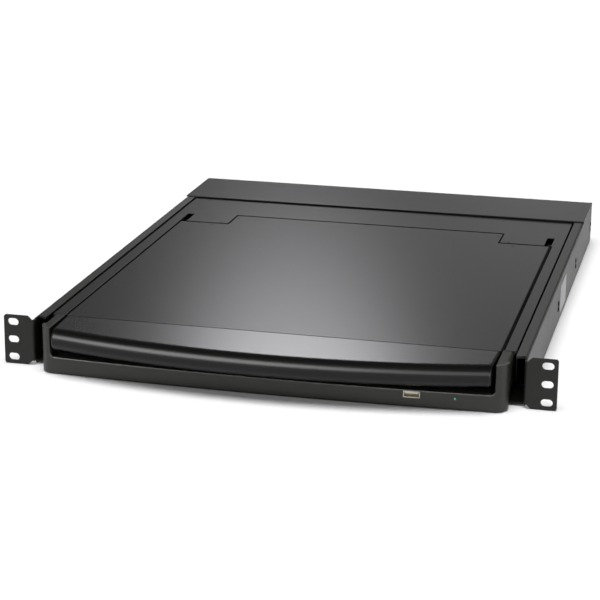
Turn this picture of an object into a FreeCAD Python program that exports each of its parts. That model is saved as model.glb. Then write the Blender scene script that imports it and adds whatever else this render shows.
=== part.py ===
import FreeCAD, Part
import math
import os

# Rackmount console drawer, one rack unit high: a fixed case, a drawer on telescopic slides that carries
# the keyboard, and a hinged lid that holds the screen. All sizes are in millimetres. X runs to the right,
# Y to the rear and Z up. Every shape is drawn with Y = 0 on the front face of the rack ears and is
# moved at the end, so that the origin lies at the middle of the floor area.

# Rack ears
rack_width = 482.6
rack_slot_inset = 8.4
rack_hole_rise = 15.875
ear_reach = 26.0
ear_top_step = 2.0
ear_slot_length = 10.0
ear_slot_width = 6.6
ear_bend_radius = 0.8
ear_neck_drop = 3.5
ear_neck_width = 3.5
ear_corner_radius = 2.0

# Case
side_sheet = 2.0
side_bend = 2.3
side_rear_step = 1.0
foot_flange_width = 14.8
flange_side_gap = 2.0
flange_front_inner = 6.0
flange_front_outer = 10.0
web_front = 6.0
pan_sheet = 1.0
pan_front = 5.0
pan_side_gap = 0.5
pan_lip_bottom = 0.4
pan_lip_gap = 1.0
cover_sheet = 1.0
cover_length = 87.7
cover_gap = 0.8
cover_lip = 5.5
cover_lip_gap = 0.2
cover_bend = 1.5
panel_sheet = 1.6
panel_recess = 6.5
panel_side_gap = 0.2
panel_flange_depth = 9.0
panel_vent_width = 3.6
panel_vent_height = 20.0
panel_vent_pitch = 9.0
panel_vent_start = 20.0
panel_vent_end = 12.0

# Telescopic slides
slide_space = 12.1
slide_front = 40.0
slide_overrun = 18.0
slide_end_step = 2.0
slide_sheet = 1.0
slide_bottom = 4.0
slide_top_gap = 2.0
slide_clearance = 0.3
slide_lip = 3.2
slide_middle_lip = 0.5
slide_bend = 1.3
slide_window_length = 24.0
slide_window_height = 8.0
slide_window_margin = 70.0
slide_windows = 4
rivet_radius = 1.8
rivet_front_inset = 195.5
rivet_rear_inset = 86.3
rivet_low = 15.6
rivet_pitch = 5.7
rivet_head_sink = 0.3
cover_screw_inset = 10.6

# Drawer tray and its top frame
tray_sheet = 1.0
tray_floor = 3.8
tray_rear_inset = 3.5
tray_front = -14.6
tray_front_wall = 9.2
tray_front_inset = 2.5
tray_shoulder_gap = 0.4
cable_way_width = 120.0
cable_way_height = 16.0
cable_way_drop = 6.0
cable_way_radius = 3.0
frame_sheet = 1.2
frame_gap = 0.8
frame_rear_length = 62.5
rail_overhang = 2.3
rail_width = 11.0
rail_front = 22.5
rail_lip_depth = 7.0
rail_edge_lip = 1.2
seam_gap = 1.2
corner_seam_gap = 1.6
stud_radius = 3.0
stud_height = 3.2

# Fascia and the caps behind its posts
fascia_front = -24.7
fascia_bow = 7.3
fascia_end_radius = 11.5
fascia_wall = 3.0
fascia_side_step = 1.0
fascia_top_step = 0.2
fascia_bottom = 0.0
fascia_edge = 15.2
fascia_rear = -5.0
fascia_corner_radius = 4.0
fascia_front_round = 0.8
fascia_bottom_round = 2.0
fascia_lip_sheet = 1.5
shelf_wall = 1.2
shelf_inset = 4.5
cap_bevel = 2.2
cap_wall = 2.0
cap_roof = 5.0
cap_gap = 0.2

# Lid
lid_side_gap = 1.2
lid_front = 20.3
lid_height = 18.4
lid_sheet = 1.2
lid_top_step = 0.2
lid_corner_length = 2.6
lid_tongue_length = 39.0
lid_tongue_inset = 51.7
lid_edge_radius = 1.0
lid_key_gap = 2.6

# Handle with its bull nose
handle_top_step = 0.2
handle_gap = 0.8
handle_side_step = 0.2
handle_end_taper = 3.0
nose_front = -47.0
nose_radius = 9.8
bow_radius = 790.0
handle_wall = 2.2
handle_ribs = 7
handle_rib_wall = 2.0
handle_end_radius = 2.5
handle_tongue_depth = 13.0
handle_tongue_sheet = 2.0
handle_tongue_inset = 4.0

# Screen, a panel of 5 by 4 with its margins in the lid
screen_depth = 270.4
screen_side_margin = 22.7
screen_front_margin = 28.5
screen_rear_margin = 40.8
screen_frame = 10.2
screen_frame_depth = 13.0
module_height = 11.0
glass_margin = 3.0
glass_thickness = 1.4
bezel_thickness = 2.0
bezel_bevel = 1.2
bezel_gap = 0.3

# Screen buttons along the hinge edge
screen_button_count = 5
screen_button_pitch = 22.0
screen_button_length = 12.0
screen_button_width = 5.0
screen_button_inset = 15.0
screen_button_stand = 0.8
screen_button_gap = 0.2
screen_button_flange = 1.0
screen_button_flange_margin = 1.0

# Lid hinge
hinge_setback = 24.0
hinge_rise = 6.4
hinge_pin_radius = 4.0
hinge_pin_clearance = 0.05
hinge_pin_play = 0.2
hinge_arm_length = 60.0
hinge_arm_sheet = 3.6
hinge_arm_half_height = 4.2
hinge_arm_round = 2.0
hinge_eye_radius = 8.0
hinge_slit_gap = 0.5
hinge_slot_inner_gap = 0.9
hinge_slot_outer_gap = 2.7
hinge_slot_behind = 10.5
bracket_setoff = 0.8
bracket_sheet = 3.0
bracket_foot = 2.0
bracket_reach = 20.0
bracket_gap = 0.3
bracket_crown = 2.0
bracket_corner_radius = 6.0
pin_head_radius = 5.5
pin_head_height = 1.5

# Keyboard
main_units = 15
number_units = 4
key_side_margin = 14.4
block_gap = 9.05
key_row_pitch = 19.05
key_gap = 0.8
key_stand = 4.5
key_taper = 1.7
key_travel = 2.5
key_play = 0.3
key_stem = 5.0
key_stem_gap = 0.3
key_stem_reach = 2.6
key_pad_gap = 16.0
function_row_gap = 5.0
window_margin = 0.6
window_radius = 1.0
plate_gap = 1.3
plate_margin = 1.5
deck_height = 10.7
deck_sheet = 2.2
deck_front = -3.4
deck_rear_margin = 14.7
deck_skirt = 2.0
deck_side_gap = 0.3
deck_edge_radius = 1.2

# Pointing pad, its two buttons and the lock lamps
pad_half_width = 38.0
pad_front = 34.0
pad_depth = 56.0
pad_sheet = 1.2
pad_recess = 0.4
pad_corner_radius = 1.7
pad_button_front = 16.0
pad_button_setback = 2.0
pad_button_gap = 0.3
pad_button_stand = 0.5
pad_button_height = 2.4
pad_button_radius = 0.7
lock_lamp_radius = 1.5
lock_lamp_gap = 0.1
lock_lamp_stand = 0.3
lock_lamp_pitch = 12.0
lock_lamp_inset = 6.0

# Electronics under the rear of the drawer
bay_gap = 0.6
bay_rear_gap = 4.0
bay_sheet = 1.0
bay_drop = 1.5
bay_vent_rows = 2
bay_vent_count = 12
bay_vent_width = 3.0
bay_vent_length = 20.0
bay_vent_row_pitch = 26.0
bay_vent_margin = 10.0
board_sheet = 1.6
board_left = -120.0
board_right = 60.0
board_front_margin = 21.4
board_rear_margin = 20.0
board_inset = 5.0
chip_inset = 60.0
chip_size = 24.0
chip_height = 1.6
chip_step = 50.0
small_chip_size = 14.0
small_chip_offset = 12.0
socket_row_margin = 40.0
socket_row_depth = 6.0
socket_row_inset = 2.0
socket_row_height = 2.4
bumper_side_margin = 10.5
bumper_front_inset = 39.7
bumper_rear_inset = 60.0
bumper_radius = 4.0
bumper_taper = 1.0
bumper_height = 2.8
bumper_post_radius = 6.0
bumper_gap = 0.3

# Port and lamp in the fascia
usb_lamp_pitch = 36.0
usb_z = 11.4
usb_width = 13.8
usb_height = 5.4
usb_corner = 0.6
usb_wall = 0.4
usb_depth = 14.0
usb_stand = 0.3
usb_tongue_width = 11.2
usb_tongue_sheet = 1.9
usb_tongue_rise = 0.1
usb_tongue_setback = 1.2
usb_block_depth = 4.0
usb_fit = 0.05
usb_gap = 0.2
usb_board_sheet = 1.6
usb_board_half_width = 18.0
usb_board_depth = 8.6
usb_stud_radius = 2.0
usb_stud_inset = 3.0
lamp_side_margin = 32.5
lamp_z = 10.2
lamp_radius = 1.5
lamp_stand = 0.2
lamp_gap = 0.1
lamp_length = 7.2
lamp_holder_width = 4.0
lamp_holder_depth = 3.0
lamp_board_margin = 6.0

# Rear panel fittings
inlet_side_margin = 43.3
inlet_z = 21.0
inlet_width = 27.4
inlet_height = 19.8
inlet_depth = 20.0
inlet_flange = 3.0
inlet_flange_sheet = 2.0
inlet_flange_radius = 2.0
inlet_mouth_width = 24.4
inlet_mouth_height = 16.4
inlet_mouth_depth = 17.0
inlet_mouth_bevel = 5.0
inlet_mouth_radius = 1.0
inlet_pin_length = 12.0
inlet_pin_width = 4.0
inlet_pin_sheet = 2.0
inlet_pin_pitch = 7.0
inlet_pin_offset = 2.0
fitting_gap = 0.2
switch_inlet_pitch = 37.0
switch_z = 21.0
switch_width = 13.0
switch_height = 19.4
switch_depth = 14.0
switch_flange = 2.0
switch_flange_sheet = 1.5
switch_flange_radius = 1.0
switch_wall = 1.2
switch_end_wall = 0.7
switch_well_gap = 2.0
rocker_sink = 1.0
rocker_radius = 8.6
rocker_face_cut = 4.0
rocker_face_fall = 2.0
rocker_tilt = 8.0
rocker_gap = 0.3
rocker_trunnion = 1.2
rocker_trunnion_reach = 0.7
rocker_trunnion_gap = 0.05
supply_switch_gap = 23.0
supply_width = 130.0
supply_height = 30.0
supply_bend = 1.5
supply_tray_gap = 16.0
supply_panel_gap = 0.6
supply_vent_count = 9
supply_vent_margin = 16.0
supply_vent_width = 4.0
supply_vent_inset = 8.0
supply_vent_depth = 2.0
port_supply_gap = 40.0
port_z = 21.0
port_width = 16.9
port_height = 8.3
port_slope = 1.2
port_corner = 1.5
port_wall = 0.5
port_shell = 5.8
port_flange_half = 15.4
port_flange_height = 12.5
port_flange_sheet = 1.0
port_body_depth = 9.0
port_body_margin = 1.0
port_lock_pitch = 25.0
port_lock_radius = 2.6
port_lock_step = 1.0
port_stud_radius = 1.5
port_stud_gap = 0.1

# Widths that follow
ear_half_width = rack_width / 2
case_half_width = ear_half_width - ear_reach
side_inner = case_half_width - side_sheet
foot_inner = case_half_width - foot_flange_width
tray_half_width = side_inner - slide_space
tray_inner = tray_half_width - tray_sheet
rail_outer = tray_half_width + rail_overhang
rail_inner = rail_outer - rail_width
flange_half_gap = rail_outer + flange_side_gap
fascia_half_width = rail_outer - fascia_side_step
fascia_radius = (fascia_half_width ** 2 + fascia_bow ** 2) / (2 * fascia_bow)
tray_front_half = rail_inner - tray_front_inset
lid_half_width = rail_inner - lid_side_gap
lid_inner_half = lid_half_width - lid_sheet
lid_tongue_half_width = lid_half_width - lid_tongue_inset
handle_half_width = lid_half_width - handle_side_step
handle_nose_half_width = handle_half_width - handle_end_taper
screen_width = 2 * (lid_half_width - screen_side_margin)
shelf_half_width = rail_inner - shelf_inset
deck_half_width = tray_inner - deck_side_gap
key_right = deck_half_width - key_side_margin
key_unit = (2 * key_right - block_gap) / (main_units + number_units)
key_left = -key_right
number_left = key_left + main_units * key_unit + block_gap
arm_outer = lid_inner_half
arm_inner = arm_outer - hinge_arm_sheet
hinge_slot_inner = arm_inner - hinge_slot_inner_gap
hinge_slot_outer = arm_outer + hinge_slot_outer_gap
bracket_inner = hinge_slot_outer + bracket_setoff
bracket_outer = bracket_inner + bracket_sheet
bumper_x = lid_inner_half - bumper_side_margin
lamp_x = rail_inner - lamp_side_margin
usb_x = lamp_x - usb_lamp_pitch
inlet_x = inlet_side_margin - side_inner
switch_x = inlet_x + switch_inlet_pitch
supply_left = switch_x + supply_switch_gap
supply_right = supply_left + supply_width
port_x = supply_right + port_supply_gap

# Heights that follow
tray_floor_top = tray_floor + tray_sheet
deck_top = tray_floor_top + deck_height
deck_underside = deck_top - deck_sheet
plate_top = deck_underside - plate_gap
key_skirt = plate_top + key_travel + key_play
key_top = deck_top + key_stand
key_stem_bottom = plate_top - key_stem_reach
groove_floor = key_stem_bottom - key_travel - key_play
lid_bottom = key_top + lid_key_gap
lid_top = lid_bottom + lid_height
lid_underside = lid_top - lid_sheet
frame_top = lid_top + lid_top_step
frame_underside = frame_top - frame_sheet
fascia_top = frame_top - fascia_top_step
handle_top = frame_top - handle_top_step
nose_middle_z = handle_top - nose_radius
case_top = frame_top + frame_gap
ear_height = case_top + ear_top_step
slide_top = case_top - side_sheet - slide_top_gap
rivet_heights = (rivet_low, rivet_low + rivet_pitch)
pan_top = side_sheet + pan_sheet
bezel_top = lid_bottom + bezel_thickness
glass_top = bezel_top + glass_thickness
hinge_z = lid_bottom + hinge_rise
bay_top = deck_top - bay_drop
usb_bottom = usb_z - usb_height / 2

# Depths that follow
lid_rear_wall = lid_front + screen_front_margin + screen_depth + screen_rear_margin
lid_corner_rear = lid_rear_wall + lid_corner_length
lid_tongue_rear = lid_rear_wall + lid_tongue_length
screen_centre_y = lid_front + screen_front_margin + screen_depth / 2
screen_button_y = lid_rear_wall - screen_button_inset
hinge_y = lid_rear_wall + hinge_setback
handle_rear = lid_front - handle_gap
nose_middle_y = nose_front + nose_radius
bow_centre_y = nose_middle_y + bow_radius
tray_shoulder = fascia_rear + tray_shoulder_gap
fascia_centre_y = fascia_front + fascia_radius
usb_front = fascia_centre_y - math.sqrt(fascia_radius ** 2 - usb_x ** 2) - usb_stand
lamp_front = fascia_centre_y - math.sqrt(fascia_radius ** 2 - lamp_x ** 2) - lamp_stand
frame_rear = lid_tongue_rear + frame_rear_length
tray_rear = frame_rear - tray_rear_inset
slide_rear = tray_rear + slide_overrun
cover_front = frame_rear + cover_gap
case_rear = cover_front + cover_length
sheet_rear = case_rear - side_rear_step
panel_rear_face = case_rear - panel_recess
panel_front_face = panel_rear_face - panel_sheet
rivet_rows = (slide_front + rivet_front_inset, slide_rear - rivet_rear_inset)
cover_screw_y = case_rear - cover_screw_inset
pad_rear = pad_front + pad_depth
key_front = pad_rear + key_pad_gap
deck_rear = key_front + 6 * key_row_pitch + function_row_gap + deck_rear_margin
bay_front = deck_rear + bay_gap
bay_rear = lid_rear_wall - bay_rear_gap
board_front = bay_front + board_front_margin
board_rear = bay_rear - board_rear_margin
bumper_rows = (lid_front + bumper_front_inset, lid_rear_wall - bumper_rear_inset)
rocker_y = panel_rear_face - rocker_sink
origin_y = (nose_front + case_rear) / 2


# Drawing helpers

def vector(plane, u, v, level):
    """A point (u, v) of the plane XY, XZ or YZ at the given level along the third axis."""
    if plane == "XY":
        return FreeCAD.Vector(u, v, level)
    if plane == "XZ":
        return FreeCAD.Vector(u, level, v)
    return FreeCAD.Vector(level, u, v)


def outline(plane, corners, level):
    """Closed wire through corners (u, v) or (u, v, radius); a radius rounds its corner with an arc."""
    count = len(corners)
    edges = []
    starts = []
    ends = []
    arcs = []
    for i in range(count):
        here = corners[i]
        point = FreeCAD.Vector(here[0], here[1], 0)
        radius = here[2] if len(here) > 2 else 0
        if radius <= 0:
            starts.append(point)
            ends.append(point)
            arcs.append(None)
            continue
        before = FreeCAD.Vector(corners[i - 1][0], corners[i - 1][1], 0) - point
        after = FreeCAD.Vector(corners[(i + 1) % count][0], corners[(i + 1) % count][1], 0) - point
        before.normalize()
        after.normalize()
        half = before.getAngle(after) / 2
        reach = radius / math.tan(half)
        middle = before + after
        middle.normalize()
        centre = point + middle * (radius / math.sin(half))
        starts.append(point + before * reach)
        ends.append(point + after * reach)
        arcs.append(centre - middle * radius)
    for i in range(count):
        if arcs[i] is not None:
            edges.append(Part.Arc(vector(plane, starts[i].x, starts[i].y, level),
                                  vector(plane, arcs[i].x, arcs[i].y, level),
                                  vector(plane, ends[i].x, ends[i].y, level)).toShape())
        following = starts[(i + 1) % count]
        if (following - ends[i]).Length > 1e-6:
            edges.append(Part.makeLine(vector(plane, ends[i].x, ends[i].y, level),
                                       vector(plane, following.x, following.y, level)))
    return Part.Wire(edges)


def prism(plane, corners, low, high):
    """Solid of the outline, from one level to the other along the third axis."""
    travel = vector(plane, 0, 0, high - low)
    return Part.Face(outline(plane, corners, low)).extrude(travel)


def block(x, y, z):
    """Box between two values on each axis, in either order."""
    low = FreeCAD.Vector(min(x), min(y), min(z))
    return Part.makeBox(max(x) - min(x), max(y) - min(y), max(z) - min(z), low)


def rectangle(u, v, radius=0):
    """Corners of a rectangle between two values on each axis, with one corner radius."""
    return [(u[0], v[0], radius), (u[1], v[0], radius), (u[1], v[1], radius), (u[0], v[1], radius)]


def centred(middle, size):
    """The two ends of a size about its middle."""
    return (middle - size / 2, middle + size / 2)


def rod(plane, u, v, low, high, radius):
    """Round bar along the axis that is square to the plane."""
    return Part.makeCylinder(radius, high - low, vector(plane, u, v, low), vector(plane, 0, 0, 1))


def obround(plane, u, v, across, up, low, high):
    """Bar with half-round ends about (u, v); the larger of its two sizes is its length."""
    radius = min(across, up) / 2
    reach_u = across / 2 - radius
    reach_v = up / 2 - radius
    flat_u = 2 * reach_u if across > up else across
    flat_v = up if across > up else 2 * reach_v
    bar = prism(plane, rectangle(centred(u, flat_u), centred(v, flat_v)), low, high)
    first = rod(plane, u - reach_u, v - reach_v, low, high, radius)
    last = rod(plane, u + reach_u, v + reach_v, low, high, radius)
    return joined(bar, first, last)


def joined(first, *others):
    """One solid of several that overlap or share a face."""
    return first.fuse(list(others)).removeSplitter()


def group(solids):
    """Separate solids kept in one node."""
    return Part.makeCompound(solids)


def mirrored(shape):
    """The same piece on the left."""
    return shape.mirror(FreeCAD.Vector(0, 0, 0), FreeCAD.Vector(1, 0, 0))


def frustum(x, y, z, inset):
    """Block that narrows by the same inset on every side from its bottom to its top."""
    bottom = outline("XY", rectangle(x, y), z[0])
    top = outline("XY", rectangle((x[0] + inset, x[1] - inset), (y[0] + inset, y[1] - inset)), z[1])
    return Part.makeLoft([bottom, top], True, True)


# Case

def ear():
    """Rack ear turned out of the side sheet, with a narrow neck at the bend and three slots."""
    strip = prism("XY", [(side_inner, web_front), (side_inner, 0, ear_bend_radius + side_sheet),
                         (ear_half_width, 0), (ear_half_width, side_sheet),
                         (case_half_width, side_sheet, ear_bend_radius), (case_half_width, web_front)],
                  0, ear_height)
    neck_start = case_half_width + ear_bend_radius
    neck_end = neck_start + ear_neck_width
    neck_top = ear_height - ear_neck_drop
    shape = prism("XZ", [(side_inner, ear_neck_drop), (neck_start, ear_neck_drop), (neck_end, 0),
                         (ear_half_width, 0, ear_corner_radius),
                         (ear_half_width, ear_height, ear_corner_radius), (neck_end, ear_height),
                         (neck_start, neck_top), (side_inner, neck_top)], 0, web_front)
    plate = strip.common(shape)
    slot_x = ear_half_width - rack_slot_inset
    for step in (-1, 0, 1):
        plate = plate.cut(obround("XZ", slot_x, ear_height / 2 + step * rack_hole_rise,
                                  ear_slot_length, ear_slot_width, -side_sheet, 2 * side_sheet))
    return plate


def side_fastener(y, z, inner, outer):
    """Round bar through the side at one place of the fastener pairs."""
    return rod("YZ", y, z, inner, outer, rivet_radius)


def side_channel():
    """Right side: a C of bent sheet with a top flange, a foot flange and the ear in front."""
    inner_bend = side_bend - side_sheet
    flange_underside = case_top - side_sheet
    channel = prism("XZ", [(foot_inner, 0), (case_half_width, 0, side_bend),
                           (case_half_width, case_top, side_bend), (flange_half_gap, case_top),
                           (flange_half_gap, flange_underside), (side_inner, flange_underside, inner_bend),
                           (side_inner, side_sheet, inner_bend), (foot_inner, side_sheet)],
                    web_front, sheet_rear)
    front_cut = prism("XY", [(foot_inner - side_sheet, 0), (side_inner, 0), (side_inner, flange_front_outer),
                             (foot_inner - side_sheet, flange_front_inner)], -side_sheet, ear_height)
    side = joined(channel.cut(front_cut), ear())
    for y in rivet_rows + (cover_screw_y,):
        for z in rivet_heights:
            side = side.cut(side_fastener(y, z, side_inner - side_sheet, case_half_width + side_sheet))
    return side


def base_pan():
    """Bottom sheet that lies on the foot flanges, with its front edge turned down between them."""
    half = side_inner - pan_side_gap
    sheet = block((-half, half), (pan_front, sheet_rear), (side_sheet, pan_top))
    lip = block((pan_lip_gap - foot_inner, foot_inner - pan_lip_gap), (pan_front, pan_front + pan_sheet),
                (pan_lip_bottom, pan_top))
    return joined(sheet, lip)


def rear_cover():
    """Cover sheet over the rear bay, flush with the sides, its front and rear edges turned down."""
    top = case_top + cover_sheet
    low = top - cover_lip
    inner_bend = cover_bend - cover_sheet
    front_inner = cover_front + cover_sheet
    rear_inner = case_rear - cover_sheet
    hood = prism("YZ", [(cover_front, low), (cover_front, top, cover_bend), (case_rear, top, cover_bend),
                        (case_rear, low), (rear_inner, low), (rear_inner, case_top, inner_bend),
                        (front_inner, case_top, inner_bend), (front_inner, low)],
                 -case_half_width, case_half_width)
    for side in (-1, 1):
        hood = hood.cut(block((side * (flange_half_gap - cover_lip_gap), side * 2 * case_half_width),
                              (cover_front - cover_sheet, rear_inner - cover_sheet),
                              (low - cover_sheet, case_top)))
    return hood


def rear_panel():
    """Connector plate under the cover, with a foot and two side flanges for the cover's screws."""
    half = side_inner - panel_side_gap
    notch = flange_half_gap - panel_side_gap
    shoulder = case_top - side_sheet - panel_side_gap
    plate = prism("XZ", [(-half, pan_top), (half, pan_top), (half, shoulder), (notch, shoulder),
                         (notch, case_top), (-notch, case_top), (-notch, shoulder), (-half, shoulder)],
                  panel_front_face, panel_rear_face)
    foot = block((-half, half), (panel_front_face - panel_flange_depth, panel_front_face),
                 (pan_top, pan_top + panel_sheet))
    side_flange = block((half - panel_sheet, half), (panel_front_face - panel_flange_depth, panel_front_face),
                        (pan_top, shoulder))
    plate = joined(plate, foot, side_flange, mirrored(side_flange))
    for z in rivet_heights:
        plate = plate.cut(side_fastener(cover_screw_y, z, -2 * half, 2 * half))
    through = (panel_front_face - panel_sheet, panel_rear_face + panel_sheet)
    gap = 2 * fitting_gap
    windows = ((inlet_x, inlet_z, inlet_width, inlet_height),
               (switch_x, switch_z, switch_width, switch_height),
               (port_x, port_z, port_width, port_height))
    for x, z, width, height in windows:
        plate = plate.cut(block(centred(x, width + gap), through, centred(z, height + gap)))
    for side in (-1, 1):
        plate = plate.cut(rod("XZ", port_x + side * port_lock_pitch / 2, port_z, through[0], through[1],
                              port_stud_radius + port_stud_gap))
    vent_x = port_x + port_flange_half + panel_vent_start
    while vent_x < half - panel_vent_end - panel_vent_pitch:
        plate = plate.cut(obround("XZ", vent_x, port_z, panel_vent_width, panel_vent_height,
                                  through[0], through[1]))
        vent_x += panel_vent_pitch
    return plate


def power_inlet():
    """Three-pin appliance inlet: flanged housing with a six-cornered mouth and three blades."""
    mouth_rear = panel_rear_face + inlet_flange_sheet
    mouth_floor = mouth_rear - inlet_mouth_depth
    flange = prism("XZ", rectangle(centred(inlet_x, inlet_width + 2 * inlet_flange),
                                   centred(inlet_z, inlet_height + 2 * inlet_flange), inlet_flange_radius),
                   panel_rear_face, mouth_rear)
    body = block(centred(inlet_x, inlet_width), (panel_rear_face - inlet_depth, panel_rear_face),
                 centred(inlet_z, inlet_height))
    left, right = centred(inlet_x, inlet_mouth_width)
    low, high = centred(inlet_z, inlet_mouth_height)
    bevel = inlet_mouth_bevel
    corners = [(left, low), (right, low), (right, high - bevel), (right - bevel, high), (left + bevel, high),
               (left, high - bevel)]
    rounded = [(x, z, inlet_mouth_radius) for x, z in corners]
    housing = joined(flange, body).cut(prism("XZ", rounded, mouth_floor, mouth_rear + inlet_flange_sheet))
    for step in (-1, 0, 1):
        rise = inlet_pin_offset if step == 0 else -inlet_pin_offset
        blade = block(centred(inlet_x + step * inlet_pin_pitch, inlet_pin_sheet),
                      (mouth_floor, mouth_floor + inlet_pin_length),
                      centred(inlet_z + rise, inlet_pin_width))
        housing = joined(housing, blade)
    return housing


def switch_housing():
    """Frame of the mains switch, open at the back for the rocker, with two bearing holes."""
    flange = prism("XZ", rectangle(centred(switch_x, switch_width + 2 * switch_flange),
                                   centred(switch_z, switch_height + 2 * switch_flange),
                                   switch_flange_radius),
                   panel_rear_face, panel_rear_face + switch_flange_sheet)
    body = block(centred(switch_x, switch_width), (panel_rear_face - switch_depth, panel_rear_face),
                 centred(switch_z, switch_height))
    well = block(centred(switch_x, switch_width - 2 * switch_wall),
                 (rocker_y - rocker_radius - rocker_sink, panel_rear_face + switch_well_gap),
                 centred(switch_z, switch_height - 2 * switch_end_wall))
    low, high = centred(switch_x, switch_width - 2 * rocker_gap)
    bearing = rod("YZ", rocker_y, switch_z, low, high, rocker_trunnion + rocker_trunnion_gap)
    return joined(flange, body).cut(well).cut(bearing)


def rocker():
    """Rocker key: a drum whose two flat faces meet in a shallow valley, resting with one end in."""
    half = switch_width / 2 - switch_wall - rocker_gap
    drum = rod("YZ", rocker_y, switch_z, switch_x - half, switch_x + half, rocker_radius)
    reach = 2 * rocker_radius
    valley = rocker_y + rocker_face_cut
    crest = valley + rocker_face_fall
    face = prism("YZ", [(valley, switch_z), (crest, switch_z + reach), (crest + reach, switch_z + reach),
                        (crest + reach, switch_z - reach), (crest, switch_z - reach)],
                 switch_x - reach, switch_x + reach)
    pivot_half = half + rocker_gap + rocker_trunnion_reach
    pivot = rod("YZ", rocker_y, switch_z, switch_x - pivot_half, switch_x + pivot_half, rocker_trunnion)
    key = joined(drum.cut(face), pivot)
    key.rotate(FreeCAD.Vector(0, rocker_y, switch_z), FreeCAD.Vector(1, 0, 0), rocker_tilt)
    return key


def d_outline(inset, corner):
    """Outline of the D-shaped shell, drawn in by an inset on every side."""
    left, right = centred(port_x, port_width - 2 * inset)
    low, high = centred(port_z, port_height - 2 * inset)
    return [(left + port_slope, low, corner), (right - port_slope, low, corner), (right, high, corner),
            (left, high, corner)]


def console_port():
    """Fifteen-way D-shaped port: flange behind the panel, D shell through it and two hexagon locks."""
    shell = prism("XZ", d_outline(0, port_corner), panel_front_face, panel_rear_face + port_shell)
    bore = prism("XZ", d_outline(port_wall, port_corner - port_wall), panel_rear_face + port_wall,
                 panel_rear_face + 2 * port_shell)
    flange_front = panel_front_face - port_flange_sheet
    flange = block(centred(port_x, 2 * port_flange_half), (flange_front, panel_front_face),
                   centred(port_z, port_flange_height))
    body = block(centred(port_x, port_width + 2 * port_body_margin),
                 (flange_front - port_body_depth, flange_front),
                 centred(port_z, port_flange_height - 2 * port_body_margin))
    port = joined(flange, body, shell).cut(bore)
    for side in (-1, 1):
        lock_x = port_x + side * port_lock_pitch / 2
        stud = rod("XZ", lock_x, port_z, flange_front, panel_rear_face + port_lock_step, port_stud_radius)
        hexagon = [(lock_x + port_lock_radius * math.cos(math.radians(60 * k)),
                    port_z + port_lock_radius * math.sin(math.radians(60 * k))) for k in range(6)]
        lock = prism("XZ", hexagon, panel_rear_face, panel_rear_face + port_shell - port_lock_step)
        port = joined(port, stud, lock)
    return port


def power_supply():
    """Mains supply on the pan: a folded chassis with a row of vents across its top."""
    front = tray_rear + supply_tray_gap
    rear = panel_front_face - panel_flange_depth - supply_panel_gap
    top = pan_top + supply_height
    cage = prism("YZ", rectangle((front, rear), (pan_top, top), supply_bend), supply_left, supply_right)
    vent_pitch = (supply_width - 2 * supply_vent_margin) / (supply_vent_count - 1)
    for i in range(supply_vent_count):
        x = supply_left + supply_vent_margin + i * vent_pitch
        cage = cage.cut(block(centred(x, supply_vent_width),
                              (front + supply_vent_inset, rear - supply_vent_inset),
                              (top - supply_vent_depth, top + supply_vent_depth)))
    return cage


# Slides

def slide_member(web, mouth, low, high, front, rear):
    """C-shaped slide member with its web at one X plane and its two lips reaching to another."""
    inside = web - slide_sheet if web > mouth else web + slide_sheet
    inner_bend = slide_bend - slide_sheet
    return prism("XZ", [(mouth, low), (web, low, slide_bend), (web, high, slide_bend), (mouth, high),
                        (mouth, high - slide_sheet), (inside, high - slide_sheet, inner_bend),
                        (inside, low + slide_sheet, inner_bend), (mouth, low + slide_sheet)], front, rear)


def slide_set():
    """The right slide: outer member on the case, inner member on the tray, middle member between."""
    step = slide_sheet + slide_clearance
    mouth = tray_half_width + slide_lip
    outer = slide_member(side_inner, mouth, slide_bottom, slide_top, slide_front, slide_rear)
    middle = slide_member(side_inner - step, mouth - step + slide_middle_lip, slide_bottom + step,
                          slide_top - step, slide_front + slide_end_step, slide_rear - slide_end_step)
    inner = slide_member(tray_half_width, side_inner - 2 * step, slide_bottom + 2 * step,
                         slide_top - 2 * step, slide_front + 2 * slide_end_step, tray_rear - slide_end_step)
    for y in rivet_rows:
        for z in rivet_heights:
            outer = outer.cut(side_fastener(y, z, side_inner - 2 * slide_sheet, side_inner + slide_sheet))
    window_pitch = (slide_rear - slide_front - 2 * slide_window_margin) / (slide_windows - 1)
    for i in range(slide_windows):
        y = slide_front + slide_window_margin + i * window_pitch
        middle = middle.cut(obround("YZ", y, (slide_bottom + slide_top) / 2, slide_window_length,
                                    slide_window_height, side_inner - 3 * step, side_inner))
    return outer, middle, inner


def slide_rivets():
    """Rivets that hold the outer slide members to the side sheets, their heads sunk flush."""
    rivets = []
    for y in rivet_rows:
        for z in rivet_heights:
            rivets.append(side_fastener(y, z, side_inner - slide_sheet, case_half_width - rivet_head_sink))
    return group(rivets + [mirrored(rivet) for rivet in rivets])


def cover_screws():
    """Screws through the side sheets into the connector plate's flanges, two on each side."""
    tip = side_inner - panel_side_gap - panel_sheet
    head_face = case_half_width - rivet_head_sink
    screws = [side_fastener(cover_screw_y, z, tip, head_face) for z in rivet_heights]
    return group(screws + [mirrored(screw) for screw in screws])


# Drawer

def tray_plan(inset):
    """Corners of the tray from above, drawn in by the inset; its front is narrower, inside the fascia."""
    narrow = tray_front_half - inset
    wide = tray_half_width - inset
    front = tray_front + inset
    shoulder = tray_shoulder + inset
    rear = tray_rear - inset
    return [(-narrow, front), (narrow, front), (narrow, shoulder), (wide, shoulder), (wide, rear),
            (-wide, rear), (-wide, shoulder), (-narrow, shoulder)]


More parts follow.
